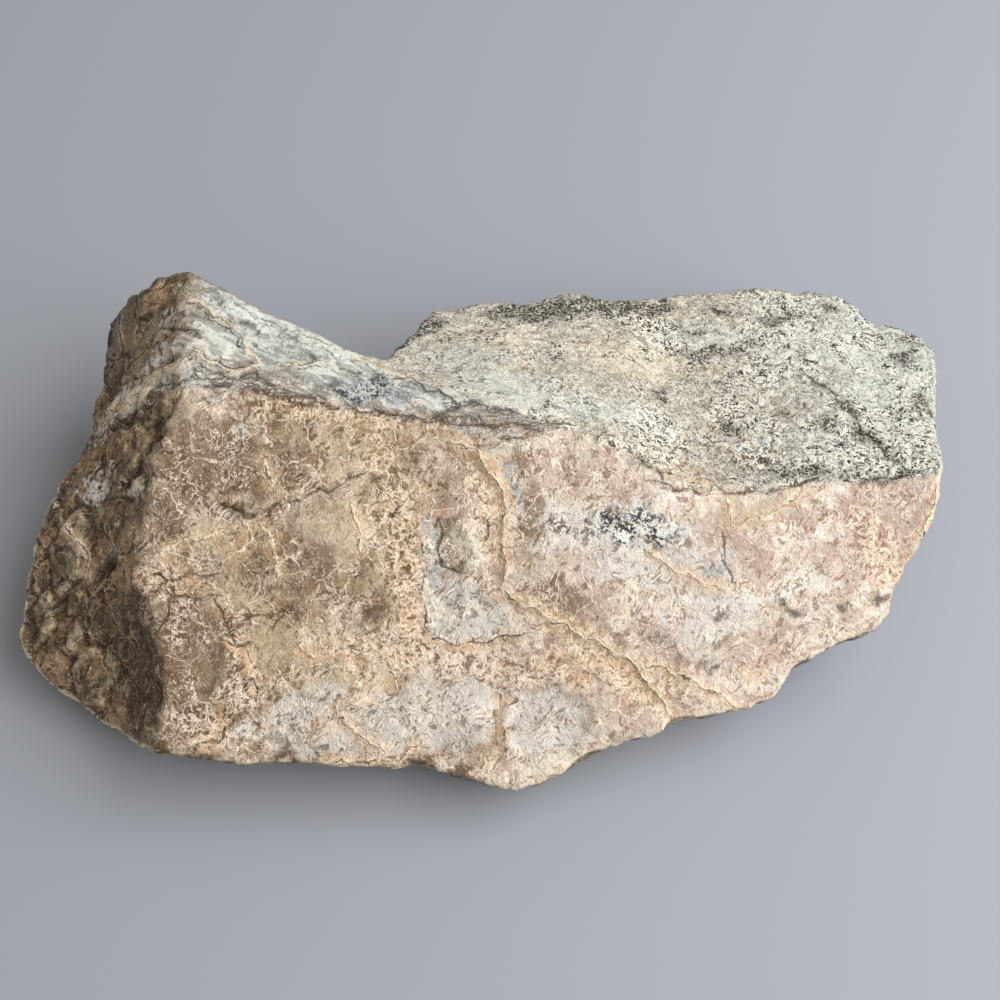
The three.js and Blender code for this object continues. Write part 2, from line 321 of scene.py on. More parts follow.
# Each patch is its centre x and y, its half sizes along and across, and its turn.
STAINS: dict[Stain, tuple[Patch, ...]] = {
    Stain.BROWN: (
        (-57.5, -5, 3, 9, -14), (-60, -26, 2.5, 5, 0), (-8.3, -12, 1.1, 4.5, 8),
        (-6.5, -7.8, 2.8, 0.9, 15), (13.5, -20, 6, 2.5, -10),
        (-57, 33, 2.4, 1.4, -40), (-53, 31.5, 2, 1.1, -40), (-49.5, 28.5, 1.8, 1.1, -50),
        (-48, -38, 6, 6, 0), (-52, -29, 6, 5, 0), (-53, 2.5, 8, 6, 0), (-44.5, 0, 11, 5, 0),
        (-56, -30, 5, 9, 0), (-57, -38, 5, 8, 0),
        (-38, -16, 9, 5, 0), (-15, 2.5, 2, 3, 0), (-23, -15.5, 1.5, 3, 0),
        (-20, -21, 1.5, 2.5, 0), (-14, 3.5, 1.5, 2, 0), (-16, 0.5, 1.5, 1, 0), (6, 3, 2.4, 2.6, 0),
        (7.5, -4, 2.2, 4, 0), (8.5, -8.5, 2.4, 1.8, 0), (-5.5, 3, 2, 1, 0), (57, 20, 1.5, 2.5, 0),
        (62, 19.5, 1.5, 2, 0), (49.5, 7.5, 6, 3, 0), (-40, 7.5, 1, 1.5, 0),
        (-35, 7.5, 1.5, 1, 0), (44, -27.5, 2, 1, 0), (36, -31, 1.5, 1, 0),
        (24.5, -25.5, 2, 1, 0), (25, -27.5, 2, 1, 0), (25, -43, 2, 1, 0),
    ),
    Stain.PALE: (
        (-24.5, -42, 20.5, 6, 0), (-7.5, -37, 9.5, 8.5, 0), (10.5, -40.5, 8, 7, 0),
        (26, -11, 20.5, 6, -8), (-5, -12.5, 3.5, 4, 0), (64.5, -16, 2.5, 1, 0),
        (-52, 12, 6, 2, 0), (78, 9.5, 4, 4.5, 0), (40, -24, 12, 5, 10),
    ),
    Stain.PINK: (
        (14.5, -14, 3.5, 2, 0), (15.5, -18.5, 3, 2, 0), (41.5, -9, 2.5, 2.5, 0),
        (49, -12.5, 4.5, 4, 0), (74, -3.5, 9, 5, 0), (62.5, -12, 2.5, 2, 0),
        (13, 1.5, 7.5, 4, 0), (24, 0, 6, 3, -30), (-4.5, -6, 3.5, 4, 0), (70, -12, 6, 5, 0),
        (30, -26, 6, 3, -20), (52, -27, 8, 4, 10), (78.5, 0.5, 5, 1.5, 0),
        (21, 31.5, 6, 3, 0), (6, 36.5, 6, 2, 0),
    ),
    Stain.OLIVE: (
        (-30.5, -9.5, 7, 6, 20), (-56.5, 7.5, 4, 2.5, 0), (50, -4.5, 6, 2, 0),
        (-52.5, -34, 3, 4.5, 0), (-40, -30, 6, 4, 0),
    ),
    Stain.ORANGE: (
        (-34, -30.5, 2, 1, 0), (-28, -31, 3, 1, 0), (27, -34, 4, 3, -35),
        (1.5, -43, 1, 4.5, 0), (22.5, -32.5, 4.5, 2, 0), (-51, -44.5, 1.5, 3, 0),
        (-47, -30.5, 1.5, 1.5, 0), (-57.5, -20, 4.5, 1.5, 0), (-14.5, -17, 1.2, 10, -8),
        (1.5, -2, 1.6, 7, 10), (-65, 37, 2, 2, 0), (-70, -17, 3, 2, 0),
        (50, -31, 4, 1.2, 15), (14, -31, 7, 2, -8), (-45, -36, 1.2, 4, 10),
    ),
    Stain.GREY: (
        (-6, -22.5, 8.5, 5, -10), (-4.5, -12.5, 2.6, 3.6, 0), (3, -18, 2, 2.5, 0),
        (2.5, 5.3, 5, 2, 0),
    ),
    Stain.BLUE: (
        (-25, 14.5, 8, 3, 8), (-17, 14.5, 4, 3, 0), (19, 14.5, 3.5, 2, 0),
        (-11.3, -13.5, 2.4, 7.5, -4), (-4, 7.5, 3, 1.5, 0), (3.5, -17.5, 1.6, 1.4, 0),
        (4.5, -2, 1.2, 3.5, 0), (41, -15, 2, 1, 0), (51, 10, 7, 1.5, 0),
    ),
    Stain.GREEN: (
        (4, 17, 12, 6, -8), (-6, 27, 8, 4, 0), (28, 14, 9, 3, -8), (66, 36, 14, 6, 0),
        (80, 22, 9, 9, 0), (76, 12, 7, 3, -60), (44, 38, 10, 4, 0),
    ),
    Stain.SLATE: ((-76, 34, 2.5, 8, -10), (-1, 9.8, 12.5, 1.8, -1), (-18, 10, 6, 0.8, -8)),
    # Dark smudges; the patches along the front rim and the small one below the bay at (-6.7, -16)
    # are painted shade.
    Stain.DARK: (
        (-45.5, -8, 2, 0.9, 0), (-21.5, -2, 1.2, 1.2, 0), (42.5, -23, 1.5, 0.8, 0),
        (-37, -23.5, 1.5, 0.8, 0), (-23, -24, 2, 1.2, 0), (-21.5, -21.5, 0.8, 1.5, 0),
        (-72.5, -13, 1.8, 1.4, 0), (-52, 34, 2.4, 1, -30),
        (-46.5, 27.5, 2.4, 0.8, -30), (-43.5, 23, 2, 0.7, -35), (-38, 25, 3, 0.7, -28),
        (-33, 22, 3, 0.6, -28), (-26, 18.5, 3, 0.6, -20), (-56, 24, 2, 0.7, 0),
        (-15.4, 34.8, 2.4, 9, -45), (8, 42.6, 10, 3.4, 0), (22, 45, 12, 3.2, 0),
        (33, 45.5, 5, 2.2, 0), (43.5, 33.8, 5, 1.6, 5), (41.8, 39, 3, 1.2, 0),
        (50, 36, 4, 1.8, 20), (47.5, 45, 3.5, 1.1, 0), (59.5, 43.5, 4.5, 1.4, 10),
        (69.5, 46.5, 2, 1.5, 0), (87, 40, 3.5, 1.5, 0), (84, 35.5, 3.2, 2.2, 0),
        (86, 21, 2.3, 4, 0), (70.5, 20, 2.4, 2, -40), (72.3, 13.5, 2.6, 2.2, -40),
        (65.4, 16.4, 2.5, 1.6, 30), (-13.8, -48, 5, 1.3, -12),
        (-6, -50.2, 5, 1.4, -18), (-77.5, 33, 1.6, 6, -10), (-59.9, -46.4, 2.4, 1.3, 0),
        (-51.5, -47.9, 3.5, 1, -8),
        (-37.5, -47.9, 4, 1, 0),
        (34, 22.5, 1.5, 2.5, 0), (46.5, 13.5, 2, 2, 0), (59, 3.5, 9.5, 1.2, 0),
        (75, 2.6, 4, 0.7, 0), (32, -0.5, 1, 0.5, 0), (-12, -49.5, 4.5, 0.9, -18),
        (-1.5, -51, 1.5, 0.8, 0), (-56.5, -11.5, 1.2, 0.8, 0), (66.7, -19.7, 1.6, 1.1, 0),
        (56.6, -20.7, 3.2, 0.9, -8), (74.6, -17.8, 2.2, 1.2, 10), (42, -30.5, 2, 0.8, 0),
        (31, -26.5, 1.6, 0.9, 20),
        (31, 2.3, 3.5, 0.8, -15),
        (-6.7, -16, 1.6, 0.7, 0),
    ),
    # Deep brown patches of the west end; the two along its groove near x -66 are painted shade in
    # it.
    Stain.DEEP: (
        (-65.5, -33, 5, 10.5, 10), (-67, -23, 3.4, 6, 0), (-62, 12, 1.8, 4.5, 10),
        (-73, 22, 3, 7, 10), (-88, -16, 2, 6, -14), (-74, -22, 1.2, 5, 10),
        (-81.5, -8.5, 3.2, 7, -14), (-84, 2, 2, 5, -20),
    ),
    Stain.WHITE: (
        (-46.5, 5.5, 0.8, 1.4, 0), (-59, 29.5, 4, 4, 0), (-60.5, 23, 5, 3, 20),
        (-75.5, 3, 3, 3.5, 0), (-46.5, -44, 2.5, 1, 30), (-44, 29, 13, 2.6, -30),
        (27, -8, 8, 3.4, -5), (-67, -1, 1.6, 1.6, 0), (-72, -12, 0.8, 1, 0),
        (-68, 16.5, 9, 2.8, 8), (-59, 20, 6, 2.8, 40),
    ),
    # The two thin patches along the right rim, at x 84 and 79, are a painted highlight there.
    Stain.CREAM: (
        (2, 34.5, 6, 8, 0), (37.5, 1.4, 4.5, 1.4, -20), (-22, 21, 8, 1, -25),
        (60, 33, 4, 2, 0), (30, 30, 10, 5, 0), (84, -4, 1, 7, -20), (79, -15, 1, 5, -25),
        (-68, 16.5, 9, 3, 8), (-59, 20, 6, 3.2, 40), (-79, -8, 0.8, 5, -30),
        (-4, -12, 3, 4.6, 0), (-10, 35.5, 5, 5, 40), (-12, 5, 3, 1.6, 0),
    ),
    Stain.SPECKLED: ((27, -8, 9, 3, -5), (14, -8.2, 5, 0.8, 0), (-24, 14.5, 7, 2.6, 8)),
    Stain.FOLDED: (
        (-47, 16.8, 11, 3, -4), (-36, 13.5, 8, 2, -6), (-57, 33, 2.5, 6, 0),
        (-2.5, 5.9, 4, 1.3, 0), (-60, 27.5, 3, 3, 0),
    ),
    Stain.FIBROUS: (
        (-17, -12, 23, 4.5, -78), (-5, -31, 34, 3, -5), (-45.5, -33, 3.5, 10, 5),
        (-53, -43, 6, 3.5, 0), (-57, -26, 3, 5, 0),
        (-30, 10, 24, 2, -3), (-1, -6, 13, 2.5, -75), (19, -29, 22, 2.5, -32),
        (74, -10, 9, 4, -60), (30, -35, 8, 4, -20), (-62, -18, 7, 3, 0),
        (36, 3, 9, 3, -20),
    ),
}


# --------------------------------------------------------------------------------------
# Measuring
# --------------------------------------------------------------------------------------

# The shoulder's bumps are full up to one distance from the west edge and end at the other.
SHOULDER_FULL = 2.0
SHOULDER_ENDS = 10.0


def ease(value: np.ndarray, low: float, high: float) -> np.ndarray:
    """Rises smoothly from 0 at low to 1 at high, or falls where low is the larger."""
    t = np.clip((value - low) / (high - low), 0, 1)
    return t * t * (3 - 2 * t)


def wavy(plan: np.ndarray, reach: float, size: float) -> np.ndarray:
    """Shifts places in plan by crossing waves, so that what is drawn on them wanders.

    Args:
        plan: The places.
        reach: How far they may shift, in millimetres.
        size: The waves' length, in millimetres.

    Returns:
        The shifted places.
    """
    x, y = plan.T * (2 * math.pi / size)
    east = np.sin(y + 0.6) + 0.6 * np.sin(2.3 * x + 1.7 * y + 2)
    north = np.sin(1.2 * x + 2.1) + 0.6 * np.sin(2.1 * y - 1.5 * x + 0.4)
    return plan + reach / 1.6 * np.stack([east, north], axis=1)


@dataclass(frozen=True)
class Reach:
    """How points lie to an open line: one value a point."""

    away: np.ndarray
    segment: np.ndarray
    along: np.ndarray


def reach_of(at: np.ndarray, corners: np.ndarray) -> Reach:
    """Measures points against an open line, in as many dimensions as both have.

    Args:
        at: Points, one a row.
        corners: The line's corners, one a row.

    Returns:
        Each point's distance to the line, its nearest segment, and how far along the
        whole line its foot lies, from 0 to 1.
    """
    runs = np.diff(corners, axis=0)
    lengths = np.linalg.norm(runs, axis=1)
    starts = np.concatenate([[0], np.cumsum(lengths)])
    away = np.full(len(at), np.inf)
    segment = np.zeros(len(at), int)
    along = np.zeros(len(at))
    for k, (start, run, length) in enumerate(zip(corners, runs, lengths)):
        part = np.clip((at - start) @ run / length**2, 0, 1)
        gap = np.linalg.norm(at - start - part[:, None] * run, axis=1)
        closer = gap < away
        away[closer] = gap[closer]
        segment[closer] = k
        along[closer] = (starts[k] + part[closer] * length) / starts[-1]
    return Reach(away, segment, along)


def signed_reach(at: np.ndarray, line: Line) -> Reach:
    """Measures points in plan against an open line.

    Args:
        at: The points.
        line: The line.

    Returns:
        How they lie to it, with away above zero on its left and below zero on its right.
    """
    corners = np.array(line, float)
    reach = reach_of(at, corners)
    run = np.diff(corners, axis=0)[reach.segment]
    gap = at - corners[reach.segment]
    left = run[:, 0] * gap[:, 1] - run[:, 1] * gap[:, 0] >= 0
    return Reach(np.where(left, reach.away, -reach.away), reach.segment, reach.along)


def inside_outline(at: np.ndarray, outline: Line) -> np.ndarray:
    """Measures points in plan against a closed outline.

    Args:
        at: The points.
        outline: The outline's corners.

    Returns:
        The distance to it, above zero inside.
    """
    corners = np.array(outline + outline[:1], float)
    away = reach_of(at, corners).away
    inside = np.zeros(len(at), bool)
    for (x0, y0), (x1, y1) in zip(corners[:-1], corners[1:]):
        if y0 == y1:
            continue
        crosses = (y0 > at[:, 1]) != (y1 > at[:, 1])
        inside ^= crosses & (at[:, 0] < x0 + (at[:, 1] - y0) / (y1 - y0) * (x1 - x0))
    return np.where(inside, away, -away)


def inside_oval(at: np.ndarray, centre: Point, half: Point, turn: float) -> np.ndarray:
    """Measures points in plan against an oval.

    Args:
        at: The points.
        centre: The oval's centre.
        half: Its half sizes along and across.
        turn: Its turn in degrees.

    Returns:
        Roughly the distance to its edge, above zero inside.
    """
    angle = math.radians(turn)
    gap = at - np.array(centre)
    along = gap[:, 0] * math.cos(angle) + gap[:, 1] * math.sin(angle)
    across = gap[:, 1] * math.cos(angle) - gap[:, 0] * math.sin(angle)
    return (1 - np.hypot(along / half[0], across / half[1])) * min(half)


class Survey:
    """Where each point of the surface lies on the stone, in millimetres.

    under, green, pale and west are the distances into those faces, above zero inside.
    """

    def __init__(self, at: np.ndarray, facing: np.ndarray) -> None:
        """Measures every point against the stone's natural lines.

        Args:
            at: Points of the surface, in millimetres.
            facing: The way the surface faces at each of them.
        """
        self.at = at
        self.plan = at[:, :2]
        rim = reach_of(at, np.array(RIM + RIM[:1], float)).away
        self.under = np.where(facing[:, 2] < FLANKS_FACE_BELOW, rim, -rim)
        beyond_east = ((FAR, RIDGE[-1][1]), (FAR, FAR), (CREST_FAR[2][0], FAR))
        self.green = inside_outline(self.plan, CREST_FAR[2:] + RIDGE[1:] + beyond_east)
        self.pale = inside_outline(self.plan, CREST_NEAR + CREST_FAR[-2::-1])
        beyond_west = ((WEST_EDGE[-1][0], -FAR), (-FAR, -FAR), (-FAR, FAR), (WEST_EDGE[0][0], FAR))
        self.west = inside_outline(self.plan, WEST_EDGE + beyond_west)

    def to_edges(self) -> np.ndarray:
        """Measures the points against the stone's main edges.

        Returns:
            The distance to the nearest, where the west edge counts as worn.
        """
        lines = (CREST_FAR, CREST_NEAR, RIDGE)
        upper = np.minimum.reduce([np.abs(signed_reach(self.plan, line).away) for line in lines])
        upper = np.minimum(upper, np.abs(self.west) + WEST_EDGE_WORN)
        rim = np.abs(self.under)
        return np.where(self.under > 0, rim, np.minimum(upper, rim))

    def shares(self, blend: float) -> dict[Zone, np.ndarray]:
        """How much of each point belongs to each face.

        Args:
            blend: How far one face blends into the next, in millimetres.

        Returns:
            Shares from 0 to 1. They add up to 1, apart from the shoulder's, which is the
            strip along the worn west edge.
        """
        left = np.ones(len(self.at))
        beside_edge = ease(np.abs(self.west), SHOULDER_ENDS, SHOULDER_FULL)
        shares = {Zone.SHOULDER: beside_edge * ease(self.under, blend, -blend)}
        for zone, depth in (
            (Zone.UNDER, self.under), (Zone.PALE, self.pale), (Zone.GREEN, self.green),
            (Zone.WEST, self.west),
        ):
            shares[zone] = left * ease(depth, -blend, blend)
            left = left - shares[zone]
        shares[Zone.RIND] = left
        return shares


# --------------------------------------------------------------------------------------
# The stone's surface
# --------------------------------------------------------------------------------------

# How far drawn shapes wander, and over what length, in millimetres.
SCARS_WANDER = (0.5, 7.0)
PLATES_WANDER = (0.9, 9.0)
STAINS_WANDER = (1.2, 10.0)

# A scar fades out over this share of its length at each end.
SCAR_TAPER = 0.08

# How far past its line a scar's lowered side starts and is fully down, in millimetres.
DROP_STARTS = -0.4
DROP_FULL = 0.6

# Carving fades out over this distance on both sides of the rim, in millimetres.
RIM_FADE = 0.5

# How deep in a plate it starts to be calm and fully is, how deep its slope starts and
# ends, and how far outside its groove runs and how wide it is, in millimetres.
PLATE_CALM = (-0.5, 0.8)
PLATE_SLOPE = (-0.2, 1.2)
GROOVE_OUTSIDE = 0.5
GROOVE_WIDTH = 0.7

# The maps of plates and stains hold distances up to this many millimetres.
MAP_LIMIT = 6.0

# The maps of how far a place stands out, and how deep it is in a plate. A cut's second
# map, which has no sides, has this after its name.
RELIEF_MAP = "relief"
PLATE_MAP = "plate"
AWAY = "_away"


def select_only(obj: bpy.types.Object) -> None:
    """Selects one object and makes it the active one.

    Args:
        obj: The object.
    """
    bpy.ops.object.select_all(action="DESELECT")
    obj.select_set(True)
    bpy.context.view_layer.objects.active = obj


def apply_modifiers(obj: bpy.types.Object) -> None:
    """Applies an object's modifiers, from the top.

    Args:
        obj: The object.
    """
    select_only(obj)
    for modifier in list(obj.modifiers):
        bpy.ops.object.modifier_apply(modifier=modifier.name)


@dataclass(frozen=True)
class Relief:
    """One kind of bumps on the skin, in millimetres.

    size is the bumps' length along x, y and z after turn, in degrees, and height is their
    full height. faces says how strong they are on each face. Broad ones run on over plates.
    """

    name: str
    basis: str
    size: tuple[float, float, float]
    height: float
    faces: dict[Zone, float]
    turn: float = 0.0
    broad: bool = False
    octaves: int = 1
    middle: float = 0.5


RELIEFS: tuple[Relief, ...] = (
    Relief(
        "knuckles", "IMPROVED_PERLIN", (13, 9, 13), 4.2, {Zone.SHOULDER: 1.0},
        broad=True, octaves=2,
    ),
    Relief(
        "swells", "IMPROVED_PERLIN", (11, 11, 9), 1.6,
        {Zone.RIND: 0.6, Zone.GREEN: 0.5, Zone.PALE: 0.5, Zone.WEST: 1.0, Zone.UNDER: 1.0},
        broad=True,
    ),
    Relief(
        "hackles", "IMPROVED_PERLIN", (4.2, 4.2, 4.2), 1.2,
        {Zone.RIND: 0.65, Zone.GREEN: 0.55, Zone.PALE: 0.35, Zone.WEST: 1.0, Zone.UNDER: 0.9},
        octaves=2,
    ),
    Relief(
        "plates", "VORONOI_CRACKLE", (12, 9, 9), 0.6,
        {Zone.RIND: 0.3, Zone.WEST: 1.0, Zone.UNDER: 0.9},
        octaves=0, middle=0.8,
    ),
    Relief(
        "chips", "VORONOI_F2_F1", (5, 4, 4), 0.6,
        {Zone.RIND: 0.3, Zone.GREEN: 0.45, Zone.PALE: 0.15, Zone.WEST: 1.0, Zone.UNDER: 0.8},
        octaves=0, middle=0.3,
    ),
    Relief(
        "layers", "IMPROVED_PERLIN", (13, 2.4, 2.4), 1.0,
        {Zone.RIND: 0.1, Zone.GREEN: 0.6, Zone.PALE: 0.8, Zone.WEST: 0.2, Zone.UNDER: 0.5},
        turn=-6,
    ),
    Relief(
        "grit", "IMPROVED_PERLIN", (1.9, 1.9, 1.9), 0.55,
        {Zone.RIND: 0.6, Zone.GREEN: 0.6, Zone.PALE: 0.45, Zone.WEST: 0.8, Zone.UNDER: 0.9},
    ),
)


@dataclass
class Stone:
    """The stone's visible surface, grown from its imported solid. Sizes are in millimetres.

    voxel is the net's width, and corners closer than weld are merged. The facets are
    smoothed in full beyond edge_free from the main edges, and by edge_softness of that
    within edge_kept. One face's bumps run into the next over blend. They are full above
    ground_free and end at ground_clear, and plates lose plate_calm of the fine ones.
    """

    solid: bpy.types.Object
    voxel: float = 0.74
    weld: float = 0.01
    smooth_rounds: int = 40
    edge_kept: float = 1.0
    edge_free: float = 6.0
    edge_softness: float = 0.06
    blend: float = 1.5
    ground_clear: float = 0.3
    ground_free: float = 3.0
    blur_rounds: int = 12
    plate_calm: float = 0.7
    obj: bpy.types.Object = field(init=False)
    survey: Survey = field(init=False)

    def build(self) -> bpy.types.Object:
        """Makes the stone's mesh with its relief and its maps.

        Returns:
            The finished object.
        """
        self._copy_solid()
        self._remesh()
        self._round_faces()
        bare = self.points()
        self.survey = Survey(bare, self._normals())
        for relief in RELIEFS:
            self._raise(relief)
        self._carve()
        self._settle()
        self._map(self._detail(bare))
        select_only(self.obj)
        bpy.ops.object.shade_smooth()
        return self.obj

    def points(self) -> np.ndarray:
        """Reads the mesh's vertices.

        Returns:
            Their places, in millimetres.
        """
        at = np.empty(len(self.obj.data.vertices) * 3, np.float32)
        self.obj.data.vertices.foreach_get("co", at)
        return at.reshape(-1, 3).astype(float) / MM

    def _normals(self) -> np.ndarray:
        """Reads which way the mesh faces.

        Returns:
            The vertex normals.
        """
        facing = np.empty(len(self.obj.data.vertices) * 3, np.float32)
        self.obj.data.vertex_normals.foreach_get("vector", facing)
        return facing.reshape(-1, 3).astype(float)

    def _place(self, at: np.ndarray) -> None:
        """Moves the mesh's vertices to the given places, in millimetres."""
        self.obj.data.vertices.foreach_set("co", (at * MM).astype(np.float32).ravel())
        self.obj.data.update()

    def _copy_solid(self) -> None:
        """Copies the solid and merges the copy's loose triangles."""
        select_only(self.solid)
        bpy.ops.object.duplicate()
        self.obj = bpy.context.active_object
        self.obj.name = "stone"
        self.obj.data.name = "stone"
        bpy.ops.object.mode_set(mode="EDIT")
        bpy.ops.mesh.select_all(action="SELECT")
        bpy.ops.mesh.remove_doubles(threshold=self.weld * MM)
        bpy.ops.object.mode_set(mode="OBJECT")

    def _remesh(self) -> None:
        """Covers the copy with an even net, fine enough to hold its relief."""
        net = self.obj.modifiers.new("net", "REMESH")
        net.mode = "VOXEL"
        net.voxel_size = self.voxel * MM
        apply_modifiers(self.obj)

    def _weigh(self, name: str, weights: np.ndarray, steps: int = 32) -> str:
        """Makes a vertex group.

        Args:
            name: The group's name.
            weights: One weight for each vertex, from 0 to 1.
            steps: How many steps the weights are rounded to.

        Returns:
            The group's name.
        """
        group = self.obj.vertex_groups.new(name=name)
        level = np.rint(np.clip(weights, 0, 1) * steps).astype(int)
        for k in range(1, steps + 1):
            group.add(np.flatnonzero(level == k).tolist(), k / steps, "REPLACE")
        return group.name

    def _round_faces(self) -> None:
        """Smooths the facets away between the stone's main edges."""
        edges = Survey(self.points(), self._normals()).to_edges()
        free = np.maximum(ease(edges, self.edge_kept, self.edge_free), self.edge_softness)
        wear = self.obj.modifiers.new("wear", "SMOOTH")
        wear.factor = 0.5
        wear.iterations = self.smooth_rounds
        wear.vertex_group = self._weigh("free", free)
        apply_modifiers(self.obj)

    def _raise(self, relief: Relief) -> None:
        """Pushes one kind of bumps out of the skin.

        Args:
            relief: The bumps.
        """
        shares = self.survey.shares(self.blend)
        strength = sum(shares[face] * share for face, share in relief.faces.items())
        if not relief.broad:
            strength = strength * (1 - self.plate_calm * ease(self._plates(), *PLATE_CALM))
        strength = strength * ease(self.survey.at[:, 2], self.ground_clear, self.ground_free)
        bpy.ops.object.select_all(action="DESELECT")
        bpy.ops.object.empty_add(rotation=(0, 0, math.radians(relief.turn)))
        grid = bpy.context.active_object
        grid.scale = Vector(relief.size) * MM
        pattern = bpy.data.textures.new(relief.name, "CLOUDS")
        pattern.noise_basis = relief.basis
        pattern.noise_type = "SOFT_NOISE"
        pattern.noise_depth = relief.octaves
        pattern.noise_scale = 1.0
        push = self.obj.modifiers.new(relief.name, "DISPLACE")
        push.texture = pattern
        push.texture_coords = "OBJECT"
        push.texture_coords_object = grid
        push.strength = relief.height * MM
        push.mid_level = relief.middle
        push.vertex_group = self._weigh(relief.name, strength)
        apply_modifiers(self.obj)
        bpy.data.objects.remove(grid)

    def _plates(self) -> np.ndarray:
        """Measures the points against the plates and dishes.

        Returns:
            How far inside the nearest of them each point lies, in millimetres.
        """
        plan = wavy(self.survey.plan, *PLATES_WANDER)
        depths = [inside_oval(plan, lobe.centre, lobe.half, lobe.turn) for lobe in LOBES]
        return np.max(depths, axis=0)

    def _carve(self) -> None:
        """Cuts the cracks, and raises the plates and veins, on the upper faces."""
        upper = ease(-self.survey.under, -RIM_FADE, RIM_FADE)
        rise = np.zeros(len(upper))
        plan = wavy(self.survey.plan, *SCARS_WANDER)
        for scar in CRACKS + VEINS + SEAMS:
            reach = signed_reach(plan, scar.points)
            ends = ease(reach.along, 0, SCAR_TAPER) * ease(reach.along, 1, 1 - SCAR_TAPER)
            rise -= scar.depth * ends * np.exp(-((reach.away / scar.width) ** 2))
            if scar.drop:
                low_side = ease(-reach.away, DROP_STARTS, DROP_FULL)
                rise -= scar.drop * ends * low_side * ease(np.abs(reach.away), scar.reach, 0)
        plan = wavy(self.survey.plan, *PLATES_WANDER)
        for lobe in LOBES:
            depth = inside_oval(plan, lobe.centre, lobe.half, lobe.turn)
            rise += lobe.rise * ease(depth, *PLATE_SLOPE)
            rise -= lobe.groove * np.exp(-(((depth + GROOVE_OUTSIDE) / GROOVE_WIDTH) ** 2))
        self._place(self.points() + (rise * upper)[:, None] * self._normals())

    def _settle(self) -> None:
        """Keeps the stone on the ground and inside its solid's box."""
        at = self.points()
        low, high = (np.array(corner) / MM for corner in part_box(NODE))
        self._place(np.clip(at, low, high))

    def _detail(self, bare: np.ndarray) -> np.ndarray:
        """How far each point stands above its surroundings.

        Args:
            bare: The points before they got their relief.

        Returns:
            The height over the neighbourhood's mean, in millimetres.
        """
        height = np.sum((self.points() - bare) * self._normals(), axis=1)
        edges = np.empty(len(self.obj.data.edges) * 2, np.int32)
        self.obj.data.edges.foreach_get("vertices", edges)
        near, far = edges.reshape(-1, 2).T
        count = np.bincount(near, minlength=len(height)) + np.bincount(far, minlength=len(height))
        mean = height
        for _ in range(self.blur_rounds):
            total = np.bincount(near, mean[far], len(height))
            total += np.bincount(far, mean[near], len(height))
            mean = (mean + total / count) / 2
        return height - mean

    def _map(self, detail: np.ndarray) -> None:
        """Stores what the stone's material reads at each point, in millimetres.

        Args:
            detail: How far each point stands above its surroundings.
        """
        maps = {
            Zone.UNDER.value: self.survey.under,
            Zone.GREEN.value: self.survey.green,
            Zone.PALE.value: self.survey.pale,
            Zone.WEST.value: self.survey.west,
            RELIEF_MAP: detail,
            PLATE_MAP: np.maximum(self._plates(), -MAP_LIMIT),
        }
        plan = wavy(self.survey.plan, *SCARS_WANDER)
        for cut, scars in SCARS.items():
            reaches = [signed_reach(plan, scar.points).away for scar in scars]
            nearest = np.argmin(np.abs(reaches), axis=0)
            side = np.take_along_axis(np.array(reaches), nearest[None], 0)[0]
            maps[cut.value] = side
            maps[cut.value + AWAY] = np.abs(side)
        plan = wavy(self.survey.plan, *STAINS_WANDER)
        for stain, patches in STAINS.items():
            depths = [inside_oval(plan, (x, y), (a, b), turn) for x, y, a, b, turn in patches]
            maps[stain.value] = np.clip(np.max(depths, axis=0), -MAP_LIMIT, MAP_LIMIT)
        for name, values in maps.items():
            layer = self.obj.data.attributes.new(name, "FLOAT", "POINT")
            layer.data.foreach_set("value", values.astype(np.float32))


# --------------------------------------------------------------------------------------
# Shader nodes
# --------------------------------------------------------------------------------------

Colour = tuple[float, float, float, float]


def tone(red: int, green: int, blue: int) -> Colour:
    """A colour from its screen values, 0 to 255.

    Args:
        red: The red value.
        green: The green value.
        blue: The blue value.

    Returns:
        The colour as a shader takes it, opaque.
    """
    linear = (
        part / 12.92 if part <= 0.04045 else ((part + 0.055) / 1.055) ** 2.4
        for part in (red / 255, green / 255, blue / 255)
    )
    return (*linear, 1.0)


@dataclass(frozen=True)
class Wire:
    """One output of a shader node, which can be reckoned with."""

    graph: Graph
    socket: bpy.types.NodeSocket

    def __add__(self, other: Number) -> Wire:
        """The sum."""
        return self.graph.math("ADD", self, other)

    def __sub__(self, other: Number) -> Wire:
        """The difference."""
        return self.graph.math("SUBTRACT", self, other)

    def __mul__(self, other: Number) -> Wire:
        """The product."""
        return self.graph.math("MULTIPLY", self, other)

    def __rsub__(self, other: float) -> Wire:
        """A number less this."""
        return self.graph.math("SUBTRACT", other, self)


Number = Wire | float
Value = Number | tuple[float, ...]


